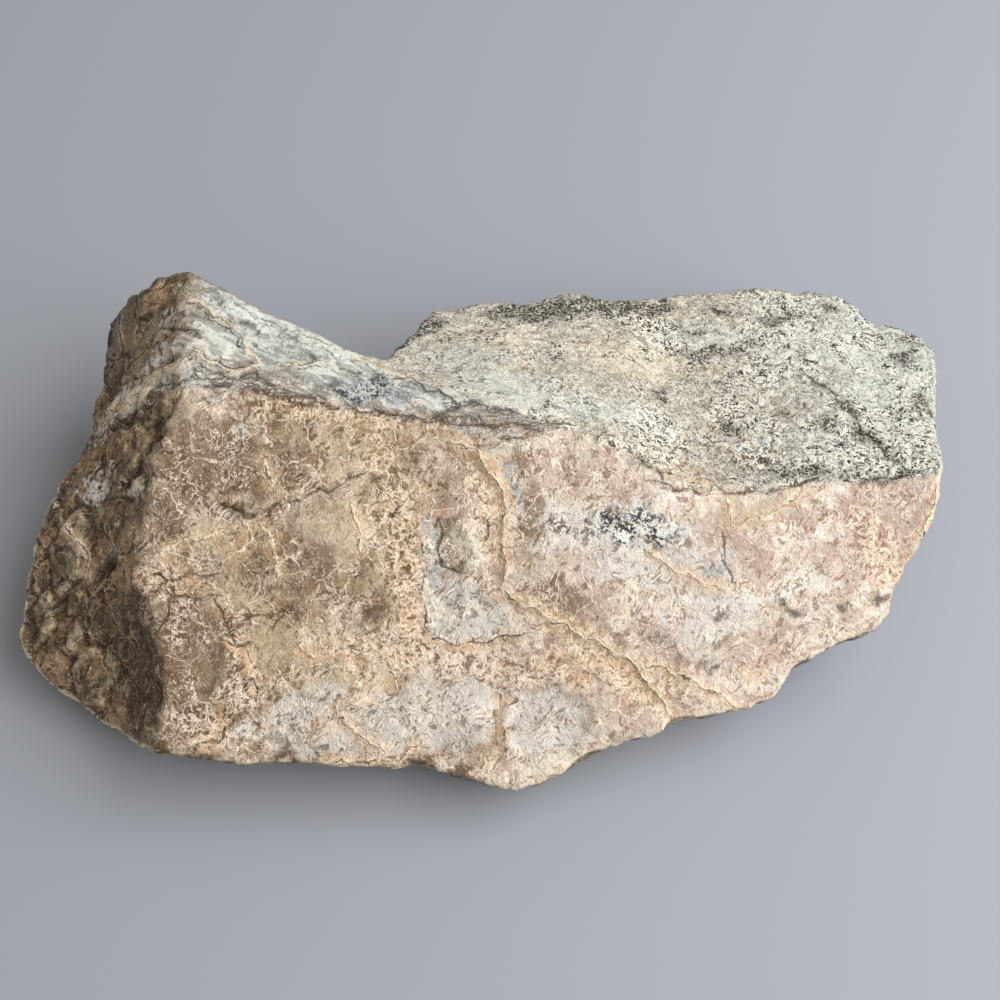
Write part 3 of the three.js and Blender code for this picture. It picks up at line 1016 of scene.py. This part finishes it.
class Graph:
    """A node tree that is filled in one node at a time."""

    def __init__(self, tree: bpy.types.NodeTree) -> None:
        """Takes the tree to fill."""
        self.tree = tree

    def feed(self, socket: bpy.types.NodeSocket, value: Value) -> None:
        """Gives an input its value.

        Args:
            socket: The input.
            value: The wire that is linked to it, or the number or colour it is set to.
        """
        if isinstance(value, Wire):
            self.tree.links.new(value.socket, socket)
        else:
            socket.default_value = value

    def add(
        self, kind: str, inputs: dict[str | int, Value], output: str | int = 0, **settings: object
    ) -> Wire:
        """Adds a node.

        Args:
            kind: The node's type.
            inputs: What its inputs get, by their names or numbers.
            output: Which of its outputs is used.
            settings: Its properties, by name.

        Returns:
            That output.
        """
        node = self.tree.nodes.new(kind)
        for name, value in settings.items():
            setattr(node, name, value)
        for name, value in inputs.items():
            self.feed(node.inputs[name], value)
        return Wire(self, node.outputs[output])

    def math(self, operation: str, *numbers: Number) -> Wire:
        """Reckons with numbers."""
        return self.add("ShaderNodeMath", dict(enumerate(numbers)), operation=operation)

    def larger(self, *numbers: Number) -> Wire:
        """The largest of some numbers."""
        return functools.reduce(functools.partial(self.math, "MAXIMUM"), numbers)

    def rise(self, value: Wire, low: Number, high: Number) -> Wire:
        """Rises smoothly from 0 at low to 1 at high.

        Args:
            value: What is compared.
            low: Where the rise starts.
            high: Where it ends, above or below low.

        Returns:
            A mask from 0 to 1.
        """
        inputs = {"Value": value, "From Min": low, "From Max": high}
        return self.add("ShaderNodeMapRange", inputs, interpolation_type="SMOOTHSTEP")

    def mix(self, share: Number, below: Wire | Colour, above: Wire | Colour) -> Wire:
        """Lays the colour above over the one below, as strongly as share says, from 0 to 1."""
        return self.add("ShaderNodeMix", {0: share, 6: below, 7: above}, 2, data_type="RGBA")

    def blend(self, share: Wire, below: Wire, above: Wire) -> Wire:
        """Blends one number into another, as mix does with colours."""
        return self.add("ShaderNodeMix", {0: share, 2: below, 3: above}, data_type="FLOAT")

    def map_of(self, name: str) -> Wire:
        """What the mesh stores under a name."""
        return self.add("ShaderNodeAttribute", {}, "Fac", attribute_name=name)

    def place(self) -> Wire:
        """The place on the object, in millimetres."""
        source = self.add("ShaderNodeTexCoord", {}, "Object")
        return self.add("ShaderNodeVectorMath", {0: source, "Scale": 1 / MM}, operation="SCALE")

    def split(self, place: Wire) -> tuple[Wire, Wire, Wire]:
        """The x, y and z of a place."""
        east = self.add("ShaderNodeSeparateXYZ", {0: place})
        return tuple(Wire(self, output) for output in east.socket.node.outputs)

    def grain(self, place: Wire, turn: float, along: float, across: float) -> Wire:
        """Turns and stretches places so that what is drawn on them runs one way.

        Args:
            place: The places.
            turn: The way the grain runs, in degrees from x.
            along: How many times longer things get along it.
            across: The same for across it.

        Returns:
            The places to draw on.
        """
        inputs = {
            "Vector": place,
            "Rotation": (0, 0, math.radians(turn)),
            "Scale": (along, across, across),
        }
        return self.add("ShaderNodeMapping", inputs, vector_type="TEXTURE")

    def noise(
        self, place: Wire, size: float, detail: float, rough: float = 0.5, output: str = "Fac"
    ) -> Wire:
        """Cloudy noise from 0 to 1, around 0.5.

        Args:
            place: The places.
            size: The clouds' size in millimetres.
            detail: How many times finer noise is added.
            rough: How strong the finer noise is.
            output: Whether it is one number, Fac, or three, Color.

        Returns:
            The noise.
        """
        inputs = {"Vector": place, "Scale": 1 / size, "Detail": detail, "Roughness": rough}
        return self.add("ShaderNodeTexNoise", inputs, output)

    def gaps(self, place: Wire, size: float) -> Wire:
        """The distance to the edges between uneven cells.

        Args:
            place: The places.
            size: The cells' size in millimetres.

        Returns:
            The distance, as a share of that size.
        """
        inputs = {"Vector": place, "Scale": 1 / size}
        return self.add("ShaderNodeTexVoronoi", inputs, "Distance", feature="DISTANCE_TO_EDGE")

    def shifted(self, place: Wire, size: float, reach: float, detail: float = 1) -> Wire:
        """Bends places by noise, so that what is drawn on them wanders.

        Args:
            place: The places.
            size: The bends' size in millimetres.
            reach: How far they may shift a place, in millimetres.
            detail: How many times finer noise is added.

        Returns:
            The places to draw on.
        """
        clouds = self.noise(place, size, detail, output="Color")
        middle = {0: clouds, 1: (0.5, 0.5, 0.5)}
        centred = self.add("ShaderNodeVectorMath", middle, operation="SUBTRACT")
        moved = {0: centred, 1: (2 * reach,) * 3, 2: place}
        return self.add("ShaderNodeVectorMath", moved, operation="MULTIPLY_ADD")

    def place_group(self, group: bpy.types.NodeTree, **inputs: Value) -> Wire:
        """Places a node group, with its inputs by name, and gives its first output."""
        return self.add("ShaderNodeGroup", inputs, node_tree=group)


def new_group(
    name: str, inputs: tuple[str, ...]
) -> tuple[Graph, list[Wire], bpy.types.NodeSocket]:
    """Starts a shader node group with numbers as its inputs and a mask as its output.

    Args:
        name: The group's name.
        inputs: Its inputs' names.

    Returns:
        The graph to fill, its inputs, and the socket that takes the mask.
    """
    tree = bpy.data.node_groups.new(name, "ShaderNodeTree")
    for title in inputs:
        tree.interface.new_socket(title, in_out="INPUT", socket_type="NodeSocketFloat")
    tree.interface.new_socket("Mask", in_out="OUTPUT", socket_type="NodeSocketFloat")
    graph = Graph(tree)
    given = tree.nodes.new("NodeGroupInput")
    result = tree.nodes.new("NodeGroupOutput")
    return graph, [Wire(graph, given.outputs[title]) for title in inputs], result.inputs["Mask"]


def patch_group() -> bpy.types.NodeTree:
    """Makes the group that draws a patch with a ragged edge from the depth inside it.

    Returns:
        The group.
    """
    inputs = ("Depth", "Noise", "Ragged", "Soft")
    graph, (depth, noise, ragged, soft), mask = new_group("ragged_patch", inputs)
    edge = depth + (noise - 0.5) * ragged
    graph.feed(mask, graph.rise(edge, 0 - soft, soft))
    return graph.tree


def line_group() -> bpy.types.NodeTree:
    """Makes the group that draws a line where a signed distance passes zero.

    Returns:
        The group.
    """
    inputs = ("Side", "Away", "Noise", "Width", "Wander")
    graph, (side, away, noise, width, wander), mask = new_group("drawn_line", inputs)
    gap = graph.math("ABSOLUTE", side + (noise - 0.5) * wander)
    graph.feed(mask, graph.rise(gap, width, width * 0.3) * graph.rise(away, 1.7, 1.0))
    return graph.tree


def squiggle_group() -> bpy.types.NodeTree:
    """Makes the group that draws thin wandering lines along one level of a noise.

    Returns:
        The group.
    """
    inputs = ("Noise", "Level", "Width")
    graph, (noise, level, width), mask = new_group("squiggles", inputs)
    gap = graph.math("ABSOLUTE", noise - level)
    graph.feed(mask, graph.rise(gap, width, width * 0.25))
    return graph.tree


# --------------------------------------------------------------------------------------
# Finishes
# --------------------------------------------------------------------------------------

# The ways that the rind, the green face's grains and the crest's layers run, in degrees.
RIND_GRAIN = 63
GREEN_GRAIN = -8
LAYER_GRAIN = -24


class Patterns(Graph):
    """The stone's nodes, with the patterns that its finishes share, in millimetres."""

    def __init__(self, tree: bpy.types.NodeTree) -> None:
        """Draws the patterns.

        Args:
            tree: The material's nodes.
        """
        super().__init__(tree)
        self.patch = patch_group()
        self.line = line_group()
        self.squiggle = squiggle_group()
        place = self.place()
        self.east, self.north, _ = self.split(place)
        bent = self.shifted(place, 2.2, 0.8)
        self.clouds = self.noise(self.shifted(bent, 7, 2.5), 16, 3, 0.55)
        self.busy = self.rise(self.clouds, 0.42, 0.56) * 0.6 + 0.4
        self.blotches = self.noise(bent, 4.6, 3, 0.62)
        self.mottled = self.rise(self.blotches + (self.clouds - 0.5) * 0.8, 0.36, 0.64)
        self.patchy = self.noise(self.grain(bent, RIND_GRAIN, 8, 5), 1, 3, 0.65)
        self.web = self.noise(bent, 3.2, 2, 0.55)
        self.threads = self.noise(bent, 1.2, 1.5, 0.6)
        self.grit = self.noise(bent, 1.7, 3, 0.85)
        self.worms = self.noise(self.grain(bent, GREEN_GRAIN, 1.5, 1), 1, 1)
        self.flow = self.noise(self.grain(bent, LAYER_GRAIN, 6, 1), 1.4, 2, 0.55)
        self.specks = self.noise(place, 0.5, 2, 0.7)
        wandering = self.grain(self.shifted(place, 6, 4), RIND_GRAIN, 2.8, 1)
        self.strands = self.noise(wandering, 0.9, 2, 0.6)
        self.crazing = self.gaps(self.shifted(place, 3, 1.3, 2), 8)
        self.broken = self.rise(self.web, 0.42, 0.56)
        self.eastern = self.rise(self.east + (self.clouds - 0.5) * 70, -30, 40)
        self.fibrous = self.ragged(self.map_of(Stain.FIBROUS.value), 9, 2)
        self.under = self.map_of(Zone.UNDER.value)
        self.green = self.map_of(Zone.GREEN.value)
        self.pale = self.map_of(Zone.PALE.value)
        self.west = self.map_of(Zone.WEST.value)
        self.relief = self.map_of(RELIEF_MAP)
        self.plate = self.map_of(PLATE_MAP)

    def ragged(self, depth: Wire, ragged: float, soft: float = 0.4, fine: bool = False) -> Wire:
        """A patch whose edge wanders.

        Args:
            depth: Distance inside the patch, in millimetres.
            ragged: How far the edge wanders.
            soft: How far it fades.
            fine: Whether its edge is finely frayed.

        Returns:
            The patch's mask.
        """
        noise = self.threads if fine else self.blotches
        return self.place_group(self.patch, Depth=depth, Noise=noise, Ragged=ragged, Soft=soft)

    def lines(self, noise: Wire, width: float, level: float = 0.5) -> Wire:
        """Thin lines that wander along one level of a noise."""
        return self.place_group(self.squiggle, Noise=noise, Width=width, Level=level)

    def cut(self, cut: Cut, width: float, wander: float = 0.7) -> Wire:
        """The lines of one kind of scar.

        Args:
            cut: Which scars.
            width: Half the line's width, in millimetres.
            wander: How far the line leaves the scar's middle.

        Returns:
            The lines' mask.
        """
        return self.place_group(
            self.line,
            Side=self.map_of(cut.value),
            Away=self.map_of(cut.value + AWAY),
            Noise=self.threads,
            Width=width,
            Wander=wander,
        )


@dataclass(frozen=True)
class Face:
    """How one face of the stone is painted: its ground, its bright lines and dark marks.

    Its ground runs from low to high. light and dark are the colours of what is on it.
    """

    low: Colour
    high: Colour
    light: Colour
    dark: Colour

    def ground(self, by: Patterns) -> Wire:
        """The face's even colour."""
        return by.mix(by.mottled, self.low, self.high)

    def bright(self, by: Patterns) -> Wire:
        """Draws the face's bright lines and flecks.

        Args:
            by: The stone's patterns.

        Returns:
            Their mask.
        """
        seams = by.rise(by.crazing, 0.022, 0.006) * by.rise(by.grit, 0.42, 0.52)
        strands = by.lines(by.strands, 0.035, 0.55) * by.rise(by.web, 0.45, 0.53)
        flecks = by.rise(by.grit, 0.58, 0.68) * by.busy
        curls = by.lines(by.threads, 0.06, 0.55) * by.fibrous
        return by.larger(seams * 0.75, strands * by.busy, flecks * 0.85, curls * 0.8)

    def marked(self, by: Patterns) -> Wire:
        """Draws the face's dark lines and pits.

        Args:
            by: The stone's patterns.

        Returns:
            Their mask.
        """
        seams = by.rise(by.crazing, 0.06, 0.015) * by.rise(by.web, 0.4, 0.5)
        strands = by.rise(by.strands, 0.46, 0.4) * by.rise(by.web, 0.45, 0.53)
        pits = by.rise(by.grit, 0.43, 0.35) * by.busy
        curls = by.rise(by.threads, 0.46, 0.38) * by.fibrous
        return by.larger(seams * 0.45, strands * 0.75, pits * 0.85, curls * 0.85)


@dataclass(frozen=True)
class TanRind(Face):
    """The weathered skin of the front, brown in the west and paler and pinker in the east."""

    low: Colour = tone(166, 138, 108)
    high: Colour = tone(208, 186, 160)
    light: Colour = tone(252, 234, 211)
    dark: Colour = tone(86, 64, 44)
    low_east: Colour = tone(203, 182, 166)
    high_east: Colour = tone(238, 230, 219)
    dark_east: Colour = tone(140, 106, 84)
    olive: Colour = tone(184, 170, 140)
    cream: Colour = tone(238, 226, 198)
    brown: Colour = tone(142, 112, 82)
    rose: Colour = tone(186, 152, 134)

    def ground(self, by: Patterns) -> Wire:
        """Paints the rind in patches, which change from west to east.

        Args:
            by: The stone's patterns.

        Returns:
            The rind's even colour.
        """
        low = by.mix(by.eastern, self.low, self.low_east)
        high = by.mix(by.eastern, self.high, self.high_east)
        colour = by.mix(by.mottled, low, high)
        fair = by.mix(by.eastern, self.olive, self.cream)
        ruddy = by.mix(by.eastern, self.brown, self.rose)
        colour = by.mix(by.rise(by.patchy, 0.54, 0.58) * 0.65, colour, fair)
        return by.mix(by.rise(by.patchy, 0.45, 0.41) * 0.65, colour, ruddy)


@dataclass(frozen=True)
class GreenFace(Face):
    """The pale green broken face at the back, full of small dark grains."""

    low: Colour = tone(184, 176, 158)
    high: Colour = tone(214, 207, 191)
    light: Colour = tone(240, 234, 216)
    dark: Colour = tone(44, 38, 30)
    blue: Colour = tone(198, 206, 202)
    sand: Colour = tone(206, 188, 158)
    grey: Colour = tone(158, 154, 144)

    def ground(self, by: Patterns) -> Wire:
        """Paints the face bluer in the east, and greyer near its foot.

        Args:
            by: The stone's patterns.

        Returns:
            The face's even colour.
        """
        colour = by.mix(by.mottled, self.low, self.high)
        colour = by.mix(by.rise(by.patchy, 0.44, 0.36) * 0.7, colour, self.sand)
        eastern = by.rise(by.east + (by.clouds - 0.5) * 60, 40, 80)
        colour = by.mix(eastern * 0.7, colour, self.blue)
        foot = by.rise(by.green + (by.flow - 0.5) * 24, 11, 3) * by.rise(by.east, 14, 36)
        return by.mix(foot * 0.6, colour, self.grey)

    def bright(self, by: Patterns) -> Wire:
        """Draws the face's pale fibres.

        Args:
            by: The stone's patterns.

        Returns:
            Their mask.
        """
        fibres = by.lines(by.threads, 0.07, 0.56) * by.busy
        flecks = by.rise(by.grit, 0.55, 0.63) * 0.85
        return by.larger(fibres, flecks, by.rise(by.specks, 0.55, 0.65) * 0.75)

    def marked(self, by: Patterns) -> Wire:
        """Draws the face's dark grains, crowded in some parts and sparse in others.

        Args:
            by: The stone's patterns.

        Returns:
            Their mask.
        """
        crowd = by.rise(by.blotches + (by.clouds - 0.5) * 0.8, 0.42, 0.6) * 0.6 + 0.3
        crowd = crowd + by.rise(by.east, 8, 40) * 0.25
        worms = by.larger(by.rise(by.worms, 0.42, 0.38), by.lines(by.threads, 0.05, 0.45))
        pits = by.rise(by.grit, 0.45, 0.37) * 0.85
        return by.larger(worms, pits, by.rise(by.specks, 0.44, 0.34) * 0.8) * crowd


@dataclass(frozen=True)
class CrestFacet(Face):
    """The smooth pale facet behind the crest, in thin folded layers."""

    low: Colour = tone(176, 178, 170)
    high: Colour = tone(214, 215, 205)
    light: Colour = tone(244, 242, 232)
    dark: Colour = tone(76, 70, 62)

    def ground(self, by: Patterns) -> Wire:
        """The facet's even colour, in soft bands along its layers."""
        bands = by.flow * 0.7 + by.blotches * 0.3
        return by.mix(by.rise(bands, 0.42, 0.54), self.low, self.high)

    def bright(self, by: Patterns) -> Wire:
        """Where its layers' edges catch the light."""
        edges = by.lines(by.flow, 0.03, 0.57)
        return by.larger(edges * 0.8, by.rise(by.grit, 0.57, 0.66) * 0.6)

    def marked(self, by: Patterns) -> Wire:
        """Draws the gaps between the facet's layers, most of them low on it.

        Args:
            by: The stone's patterns.

        Returns:
            Their mask.
        """
        low_down = by.rise(by.pale + (by.web - 0.5) * 12, 5, 2)
        gaps = by.lines(by.flow, 0.048, 0.43) * (low_down * 0.4 + 0.6)
        return by.larger(gaps, by.rise(by.grit, 0.44, 0.36) * 0.85)


@dataclass(frozen=True)
class WestEnd(Face):
    """The dark broken plates of the west end, lighter near its worn edge."""

    low: Colour = tone(96, 72, 50)
    high: Colour = tone(158, 131, 99)
    light: Colour = tone(233, 207, 168)
    dark: Colour = tone(30, 21, 14)
    worn: Colour = tone(171, 149, 124)
    deep: Colour = tone(66, 49, 36)

    def ground(self, by: Patterns) -> Wire:
        """Paints the plates.

        Args:
            by: The stone's patterns.

        Returns:
            Their even colour.
        """
        colour = by.mix(by.mottled, self.low, self.high)
        colour = by.mix(by.rise(by.patchy, 0.46, 0.4) * 0.6, colour, self.deep)
        worn = by.larger(by.rise(by.west, 6, -1), by.rise(by.north, 14, 28) * 0.7)
        return by.mix(worn * 0.6, colour, self.worn)

    def bright(self, by: Patterns) -> Wire:
        """Draws painted highlight along the plates' raised edges, and pale lines and flecks
        between them.

        Args:
            by: The stone's patterns.

        Returns:
            Their mask.
        """
        rims = by.lines(by.plate, 0.4, 0.7) * by.rise(by.grit, 0.48, 0.6)
        seams = by.lines(by.crazing, 0.025, 0.085) * by.broken
        strands = by.lines(by.strands, 0.035, 0.56) * by.rise(by.web, 0.5, 0.58)
        flecks = by.rise(by.grit, 0.58, 0.68) * by.busy
        return by.larger(rims * 0.7, seams * 0.4, strands * 0.3, flecks * 0.9)

    def marked(self, by: Patterns) -> Wire:
        """Draws painted shade in the furrows at the plates' feet, and dark lines and pits.

        Args:
            by: The stone's patterns.

        Returns:
            Their mask.
        """
        gaps = by.lines(by.plate, 0.4, -0.2) * by.rise(by.grit, 0.6, 0.46)
        seams = by.rise(by.crazing, 0.06, 0.02) * by.broken
        strands = by.rise(by.strands, 0.44, 0.38) * by.rise(by.web, 0.44, 0.52)
        pits = by.rise(by.grit, 0.45, 0.35) * by.busy
        return by.larger(gaps * 0.9, seams * 0.9, strands * 0.75, pits * 0.85)


FLANK = Face(tone(112, 96, 78), tone(158, 150, 130), tone(206, 194, 166), tone(56, 47, 38))


@dataclass(frozen=True)
class StainColour:
    """How one stain is painted: how strong, and how far its edge wanders and fades."""

    stain: Stain
    colour: Colour
    strength: float = 0.7
    ragged: float = 7.0
    soft: float = 1.2
    fine: bool = False


# The stains in the order they are painted, each over the ones before.
STAIN_COLOURS: tuple[StainColour, ...] = (
    StainColour(Stain.PALE, tone(218, 215, 208), 0.65),
    StainColour(Stain.PINK, tone(186, 156, 141), 0.6),
    StainColour(Stain.OLIVE, tone(172, 156, 126), 0.6, 3),
    StainColour(Stain.FIBROUS, tone(214, 174, 134), 0.45, 9, 2),
    StainColour(Stain.GREY, tone(213, 214, 204), 0.7, 5, 0.5),
    StainColour(Stain.BROWN, tone(120, 93, 64), 0.7, 3, 0.7),
    StainColour(Stain.BLUE, tone(166, 172, 171), 0.8, 2.5, 0.5),
    # The cream patches include a painted highlight along the right rim.
    StainColour(Stain.CREAM, tone(230, 216, 187), 0.7, 6),
    StainColour(Stain.GREEN, tone(214, 217, 205), 0.8, 7),
    StainColour(Stain.SLATE, tone(116, 109, 101), 0.8, 2.5, 0.5),
    # The deep patches are partly painted shade in the west end's groove.
    StainColour(Stain.DEEP, tone(64, 43, 27), 0.75, 9, 1),
    StainColour(Stain.WHITE, tone(237, 237, 231), 0.8, 11, 1, True),
    StainColour(Stain.FOLDED, tone(152, 136, 116), 0.85, 8, 1, True),
    StainColour(Stain.ORANGE, tone(216, 170, 128), 0.65, 6, 1.5, True),
)


@dataclass(frozen=True)
class Coat:
    """What is painted over the whole stone: a ground, and bright and dark marks on it."""

    ground: Wire
    light: Wire
    dark: Wire
    bright: Wire
    marked: Wire


@dataclass(frozen=True)
class JadeiteFinish:
    """The whole stone's finish, face by face."""

    ink: Colour = tone(44, 46, 56)
    # smudge is the colour of the dark patches, real smudges and painted shade alike.
    smudge_and_shade: Colour = tone(92, 84, 72)
    # crack is also the colour of the painted shadows beside the veins and seams.
    crack: Colour = tone(74, 50, 30)
    # vein is also the colour of the painted highlight along the rim.
    vein: Colour = tone(240, 222, 194)
    seam: Colour = tone(214, 174, 134)
    # Painted shade for the relief's hollows and painted highlight for its ridges.
    painted_hollow_shade: Colour = tone(76, 54, 34)
    painted_ridge_highlight: Colour = tone(226, 208, 176)

    def build(self) -> bpy.types.Material:
        """Makes the material.

        Returns:
            The material.
        """
        material = bpy.data.materials.new(SLOT)
        material.use_nodes = True
        shader = material.node_tree.nodes["Principled BSDF"]
        by = Patterns(material.node_tree)
        olive = by.ragged(by.map_of(Stain.OLIVE.value), 3)
        rough = 1 - by.larger(olive * 0.5, by.ragged(by.pale, 2) * 0.45)
        by.feed(shader.inputs["Base Color"], self._colour(by, rough))
        by.feed(shader.inputs["Roughness"], 0.7 - by.rise(by.blotches, 0.45, 0.7) * 0.22)
        bumps = {"Distance": MM, "Height": self._height(by, rough)}
        by.feed(shader.inputs["Normal"], by.add("ShaderNodeBump", bumps, "Normal"))
        return material

    def _coat(self, by: Patterns, smudge_and_shade: Wire) -> Coat:
        """Paints the faces, each fading into the next.

        Args:
            by: The stone's patterns.
            smudge_and_shade: Where the stone has real smudges and painted shade.

        Returns:
            Their paint.
        """
        rind = TanRind()
        ground, light = rind.ground(by), rind.light
        dark = by.mix(by.eastern, rind.dark, rind.dark_east)
        dark = by.mix(smudge_and_shade * by.eastern, dark, self.smudge_and_shade)
        bright, marked = rind.bright(by), rind.marked(by)
        for face, depth, ragged, soft in (
            (GreenFace(), by.green, 5, 0.6), (CrestFacet(), by.pale, 2, 0.4),
            (WestEnd(), by.west, 18, 2.5), (FLANK, by.under, 1.5, 0.4),
        ):
            share = by.ragged(depth, ragged, soft)
            ground = by.mix(share, ground, face.ground(by))
            light = by.mix(share, light, face.light)
            dark = by.mix(share, dark, face.dark)
            bright = by.blend(share, bright, face.bright(by))
            marked = by.blend(share, marked, face.marked(by))
        return Coat(ground, light, dark, bright, marked)

    def _colour(self, by: Patterns, rough: Wire) -> Wire:
        """Paints the faces, then their stains, and then their lines and marks.

        Args:
            by: The stone's patterns.
            rough: How strong the fine marks are, from 0 to 1.

        Returns:
            The stone's colour.
        """
        above = by.rise(by.under, 3, 0.5)
        # The dark patches: real smudges, and painted shade along the front rim and below the bay.
        smudge_and_shade = by.ragged(by.map_of(Stain.DARK.value), 3, 0.8, True) * above
        coat = self._coat(by, smudge_and_shade)
        colour = by.mix(above, coat.ground, self._stained(by, coat.ground))
        rim = by.math("ABSOLUTE", by.under)
        back_rim = by.rise(rim, 1.2, 0.4) * by.rise(by.north, 28, 40)
        specks = by.rise(by.specks, 0.43, 0.27) * 0.6
        marked = by.larger(coat.marked * rough, smudge_and_shade * 0.92, back_rim * 0.6, specks)
        squiggles = by.lines(by.threads, 0.05, 0.5) * by.rise(by.green, 0, 1)
        bright = by.blend(smudge_and_shade, coat.bright * rough, squiggles * 0.75)
        bright = by.larger(bright, by.rise(by.specks, 0.57, 0.73) * 0.6)
        colour = by.mix(marked, colour, coat.dark)
        colour = by.mix(bright, colour, coat.light)
        # A painted highlight, broken up, along the rim at the front and sides, in the vein colour,
        # kept off the dark patches.
        edge = by.rise(rim, 1.3, 0.3) * by.rise(by.north, 20, 0) * (1 - smudge_and_shade)
        colour = by.mix(edge * by.rise(by.threads, 0.38, 0.5) * 0.85, colour, self.vein)
        return self._scarred(by, colour)

    def _stained(self, by: Patterns, colour: Wire) -> Wire:
        """Lays the stains over the faces.

        Args:
            by: The stone's patterns.
            colour: The faces' colour.

        Returns:
            The stained colour.
        """
        for paint in STAIN_COLOURS:
            depth = by.map_of(paint.stain.value)
            mask = by.ragged(depth, paint.ragged, paint.soft, paint.fine)
            if paint.fine:
                mask = mask * by.rise(by.grit, 0.36, 0.5)
            colour = by.mix(mask * paint.strength, colour, paint.colour)
        return colour

    def _scarred(self, by: Patterns, colour: Wire) -> Wire:
        """Paints shade into hollows and highlight onto ridges, and draws the scars, their painted
        shadows and ink specks.

        Args:
            by: The stone's patterns.
            colour: The colour below them.

        Returns:
            The stone's colour.
        """
        # Painted shade in the hollows and painted highlight on the ridges, by how far each place
        # stands out.
        colour = by.mix(by.rise(by.relief, -0.05, -0.55) * 0.55, colour, self.painted_hollow_shade)
        colour = by.mix(by.rise(by.relief, 0.08, 0.5) * 0.4, colour, self.painted_ridge_highlight)
        broken = by.rise(by.grit, 0.4, 0.54)
        near = by.rise(by.map_of(Cut.VEIN.value + AWAY) + (by.threads - 0.5) * 5, 2.2, 0.4)
        near = near * by.rise(by.pale, 0.5, -0.5) * by.rise(by.green, 0.5, -0.5)
        colour = by.mix(near * 0.45, colour, self.seam)
        colour = by.mix(near * by.lines(by.threads, 0.05, 0.53) * 0.8, colour, self.vein)
        colour = by.mix(by.cut(Cut.SEAM, 0.7) * broken * 0.7, colour, self.seam)
        colour = by.mix(by.cut(Cut.VEIN, 0.55) * broken, colour, self.vein)
        # Painted shadows along one side of each vein on the crest facet and of each seam, drawn
        # with the veins' dark partings.
        painted_vein_shadow = by.lines(by.map_of(Cut.VEIN.value) + by.threads * 1.2, 0.25, -0.2)
        painted_seam_shadow = by.lines(by.map_of(Cut.SEAM.value) + by.threads * 1.2, 0.25, 1.4)
        parting_and_shadow = by.larger(
            by.cut(Cut.VEIN, 0.17, 1.1), painted_vein_shadow * by.rise(by.pale, -0.5, 0.5), painted_seam_shadow
        )
        colour = by.mix(parting_and_shadow * by.rise(by.web, 0.43, 0.5) * 0.85, colour, self.crack)
        crack = by.cut(Cut.CRACK, 0.2) * by.rise(by.web, 0.41, 0.5)
        colour = by.mix(crack * 0.85, colour, self.crack)
        speckled = by.ragged(by.map_of(Stain.SPECKLED.value), 5, 1.5)
        ink = by.rise(by.grit * 0.8 + by.specks * 0.5, 0.67, 0.62)
        return by.mix(speckled * ink * 0.95, colour, self.ink)

    def _height(self, by: Patterns, rough: Wire) -> Wire:
        """The fine relief in millimetres, with its fine bumps as strong as rough says."""
        height = by.blotches * 0.5 + by.grit * rough * 0.6
        return height + by.cut(Cut.VEIN, 0.5) * 0.15 - by.cut(Cut.CRACK, 0.45) * 0.35


# --------------------------------------------------------------------------------------
# The stage
# --------------------------------------------------------------------------------------


@dataclass(frozen=True)
class Studio:
    """A pale floor, soft lights and the camera.

    Places and sizes are in metres, the lens and its sensor in millimetres, the elevation
    in degrees and the key light's power in watts.
    """

    floor_size: float = 3.0
    floor_colour: Colour = (0.375, 0.392, 0.435, 1.0)
    floor_roughness: float = 0.7
    lens: float = 60.0
    sensor: float = 36.0
    elevation: float = 64.0
    distance: float = 0.3255
    aim: tuple[float, float, float] = (0.0017, 0.0024, 0.025)
    sky: Colour = (1.0, 0.97, 0.92, 1.0)
    sky_strength: float = 0.38
    key_place: tuple[float, float, float] = (0.51, -0.05, 0.51)
    key_size: float = 0.8
    key_power: float = 7.3
    key_colour: tuple[float, float, float] = (0.97, 0.985, 1.0)

    def build(self) -> None:
        """Sets the stage."""
        self._floor()
        self._camera()
        self._sky()
        self._key()
        bpy.context.scene.view_settings.view_transform = "Standard"

    def _floor(self) -> None:
        """Lays a plain floor under the stone."""
        bpy.ops.object.select_all(action="DESELECT")
        bpy.ops.mesh.primitive_plane_add(size=self.floor_size)
        floor = bpy.context.active_object
        floor.name = "floor"
        paint = bpy.data.materials.new("floor")
        paint.use_nodes = True
        shader = paint.node_tree.nodes["Principled BSDF"]
        shader.inputs["Base Color"].default_value = self.floor_colour
        shader.inputs["Roughness"].default_value = self.floor_roughness
        floor.data.materials.append(paint)

    def _camera(self) -> None:
        """Looks down on the stone from the front."""
        data = bpy.data.cameras.new("camera")
        data.lens = self.lens
        data.sensor_width = self.sensor
        camera = bpy.data.objects.new("camera", data)
        bpy.context.scene.collection.objects.link(camera)
        tilt = math.radians(self.elevation)
        back = Vector((0, -math.cos(tilt), math.sin(tilt))) * self.distance
        camera.location = Vector(self.aim) + back
        camera.rotation_euler = (math.pi / 2 - tilt, 0, 0)
        bpy.context.scene.camera = camera

    def _sky(self) -> None:
        """Lights the stone evenly from all sides."""
        world = bpy.data.worlds.new("studio")
        world.use_nodes = True
        sky = world.node_tree.nodes["Background"]
        sky.inputs["Color"].default_value = self.sky
        sky.inputs["Strength"].default_value = self.sky_strength
        bpy.context.scene.world = world

    def _key(self) -> None:
        """Lights the stone softly from the right."""
        data = bpy.data.lights.new("key", "AREA")
        data.energy = self.key_power
        data.color = self.key_colour
        data.size = self.key_size
        key = bpy.data.objects.new("key", data)
        bpy.context.scene.collection.objects.link(key)
        key.location = self.key_place
        key.rotation_euler = (-key.location).to_track_quat("-Z", "Y").to_euler()



def main() -> None:
    """Builds the stone and its stage."""
    logging.basicConfig(level=logging.INFO, format="%(name)s: %(message)s")
    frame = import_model()
    Studio().build()
    stone = Stone(frame["nodes"][NODE]).build()
    stone.data.materials.clear()
    stone.data.materials.append(JadeiteFinish().build())
    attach(stone, BODY)
    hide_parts(NODE)
    log.info("stone: %d faces", len(stone.data.polygons))


if __name__ == "__main__":
    main()
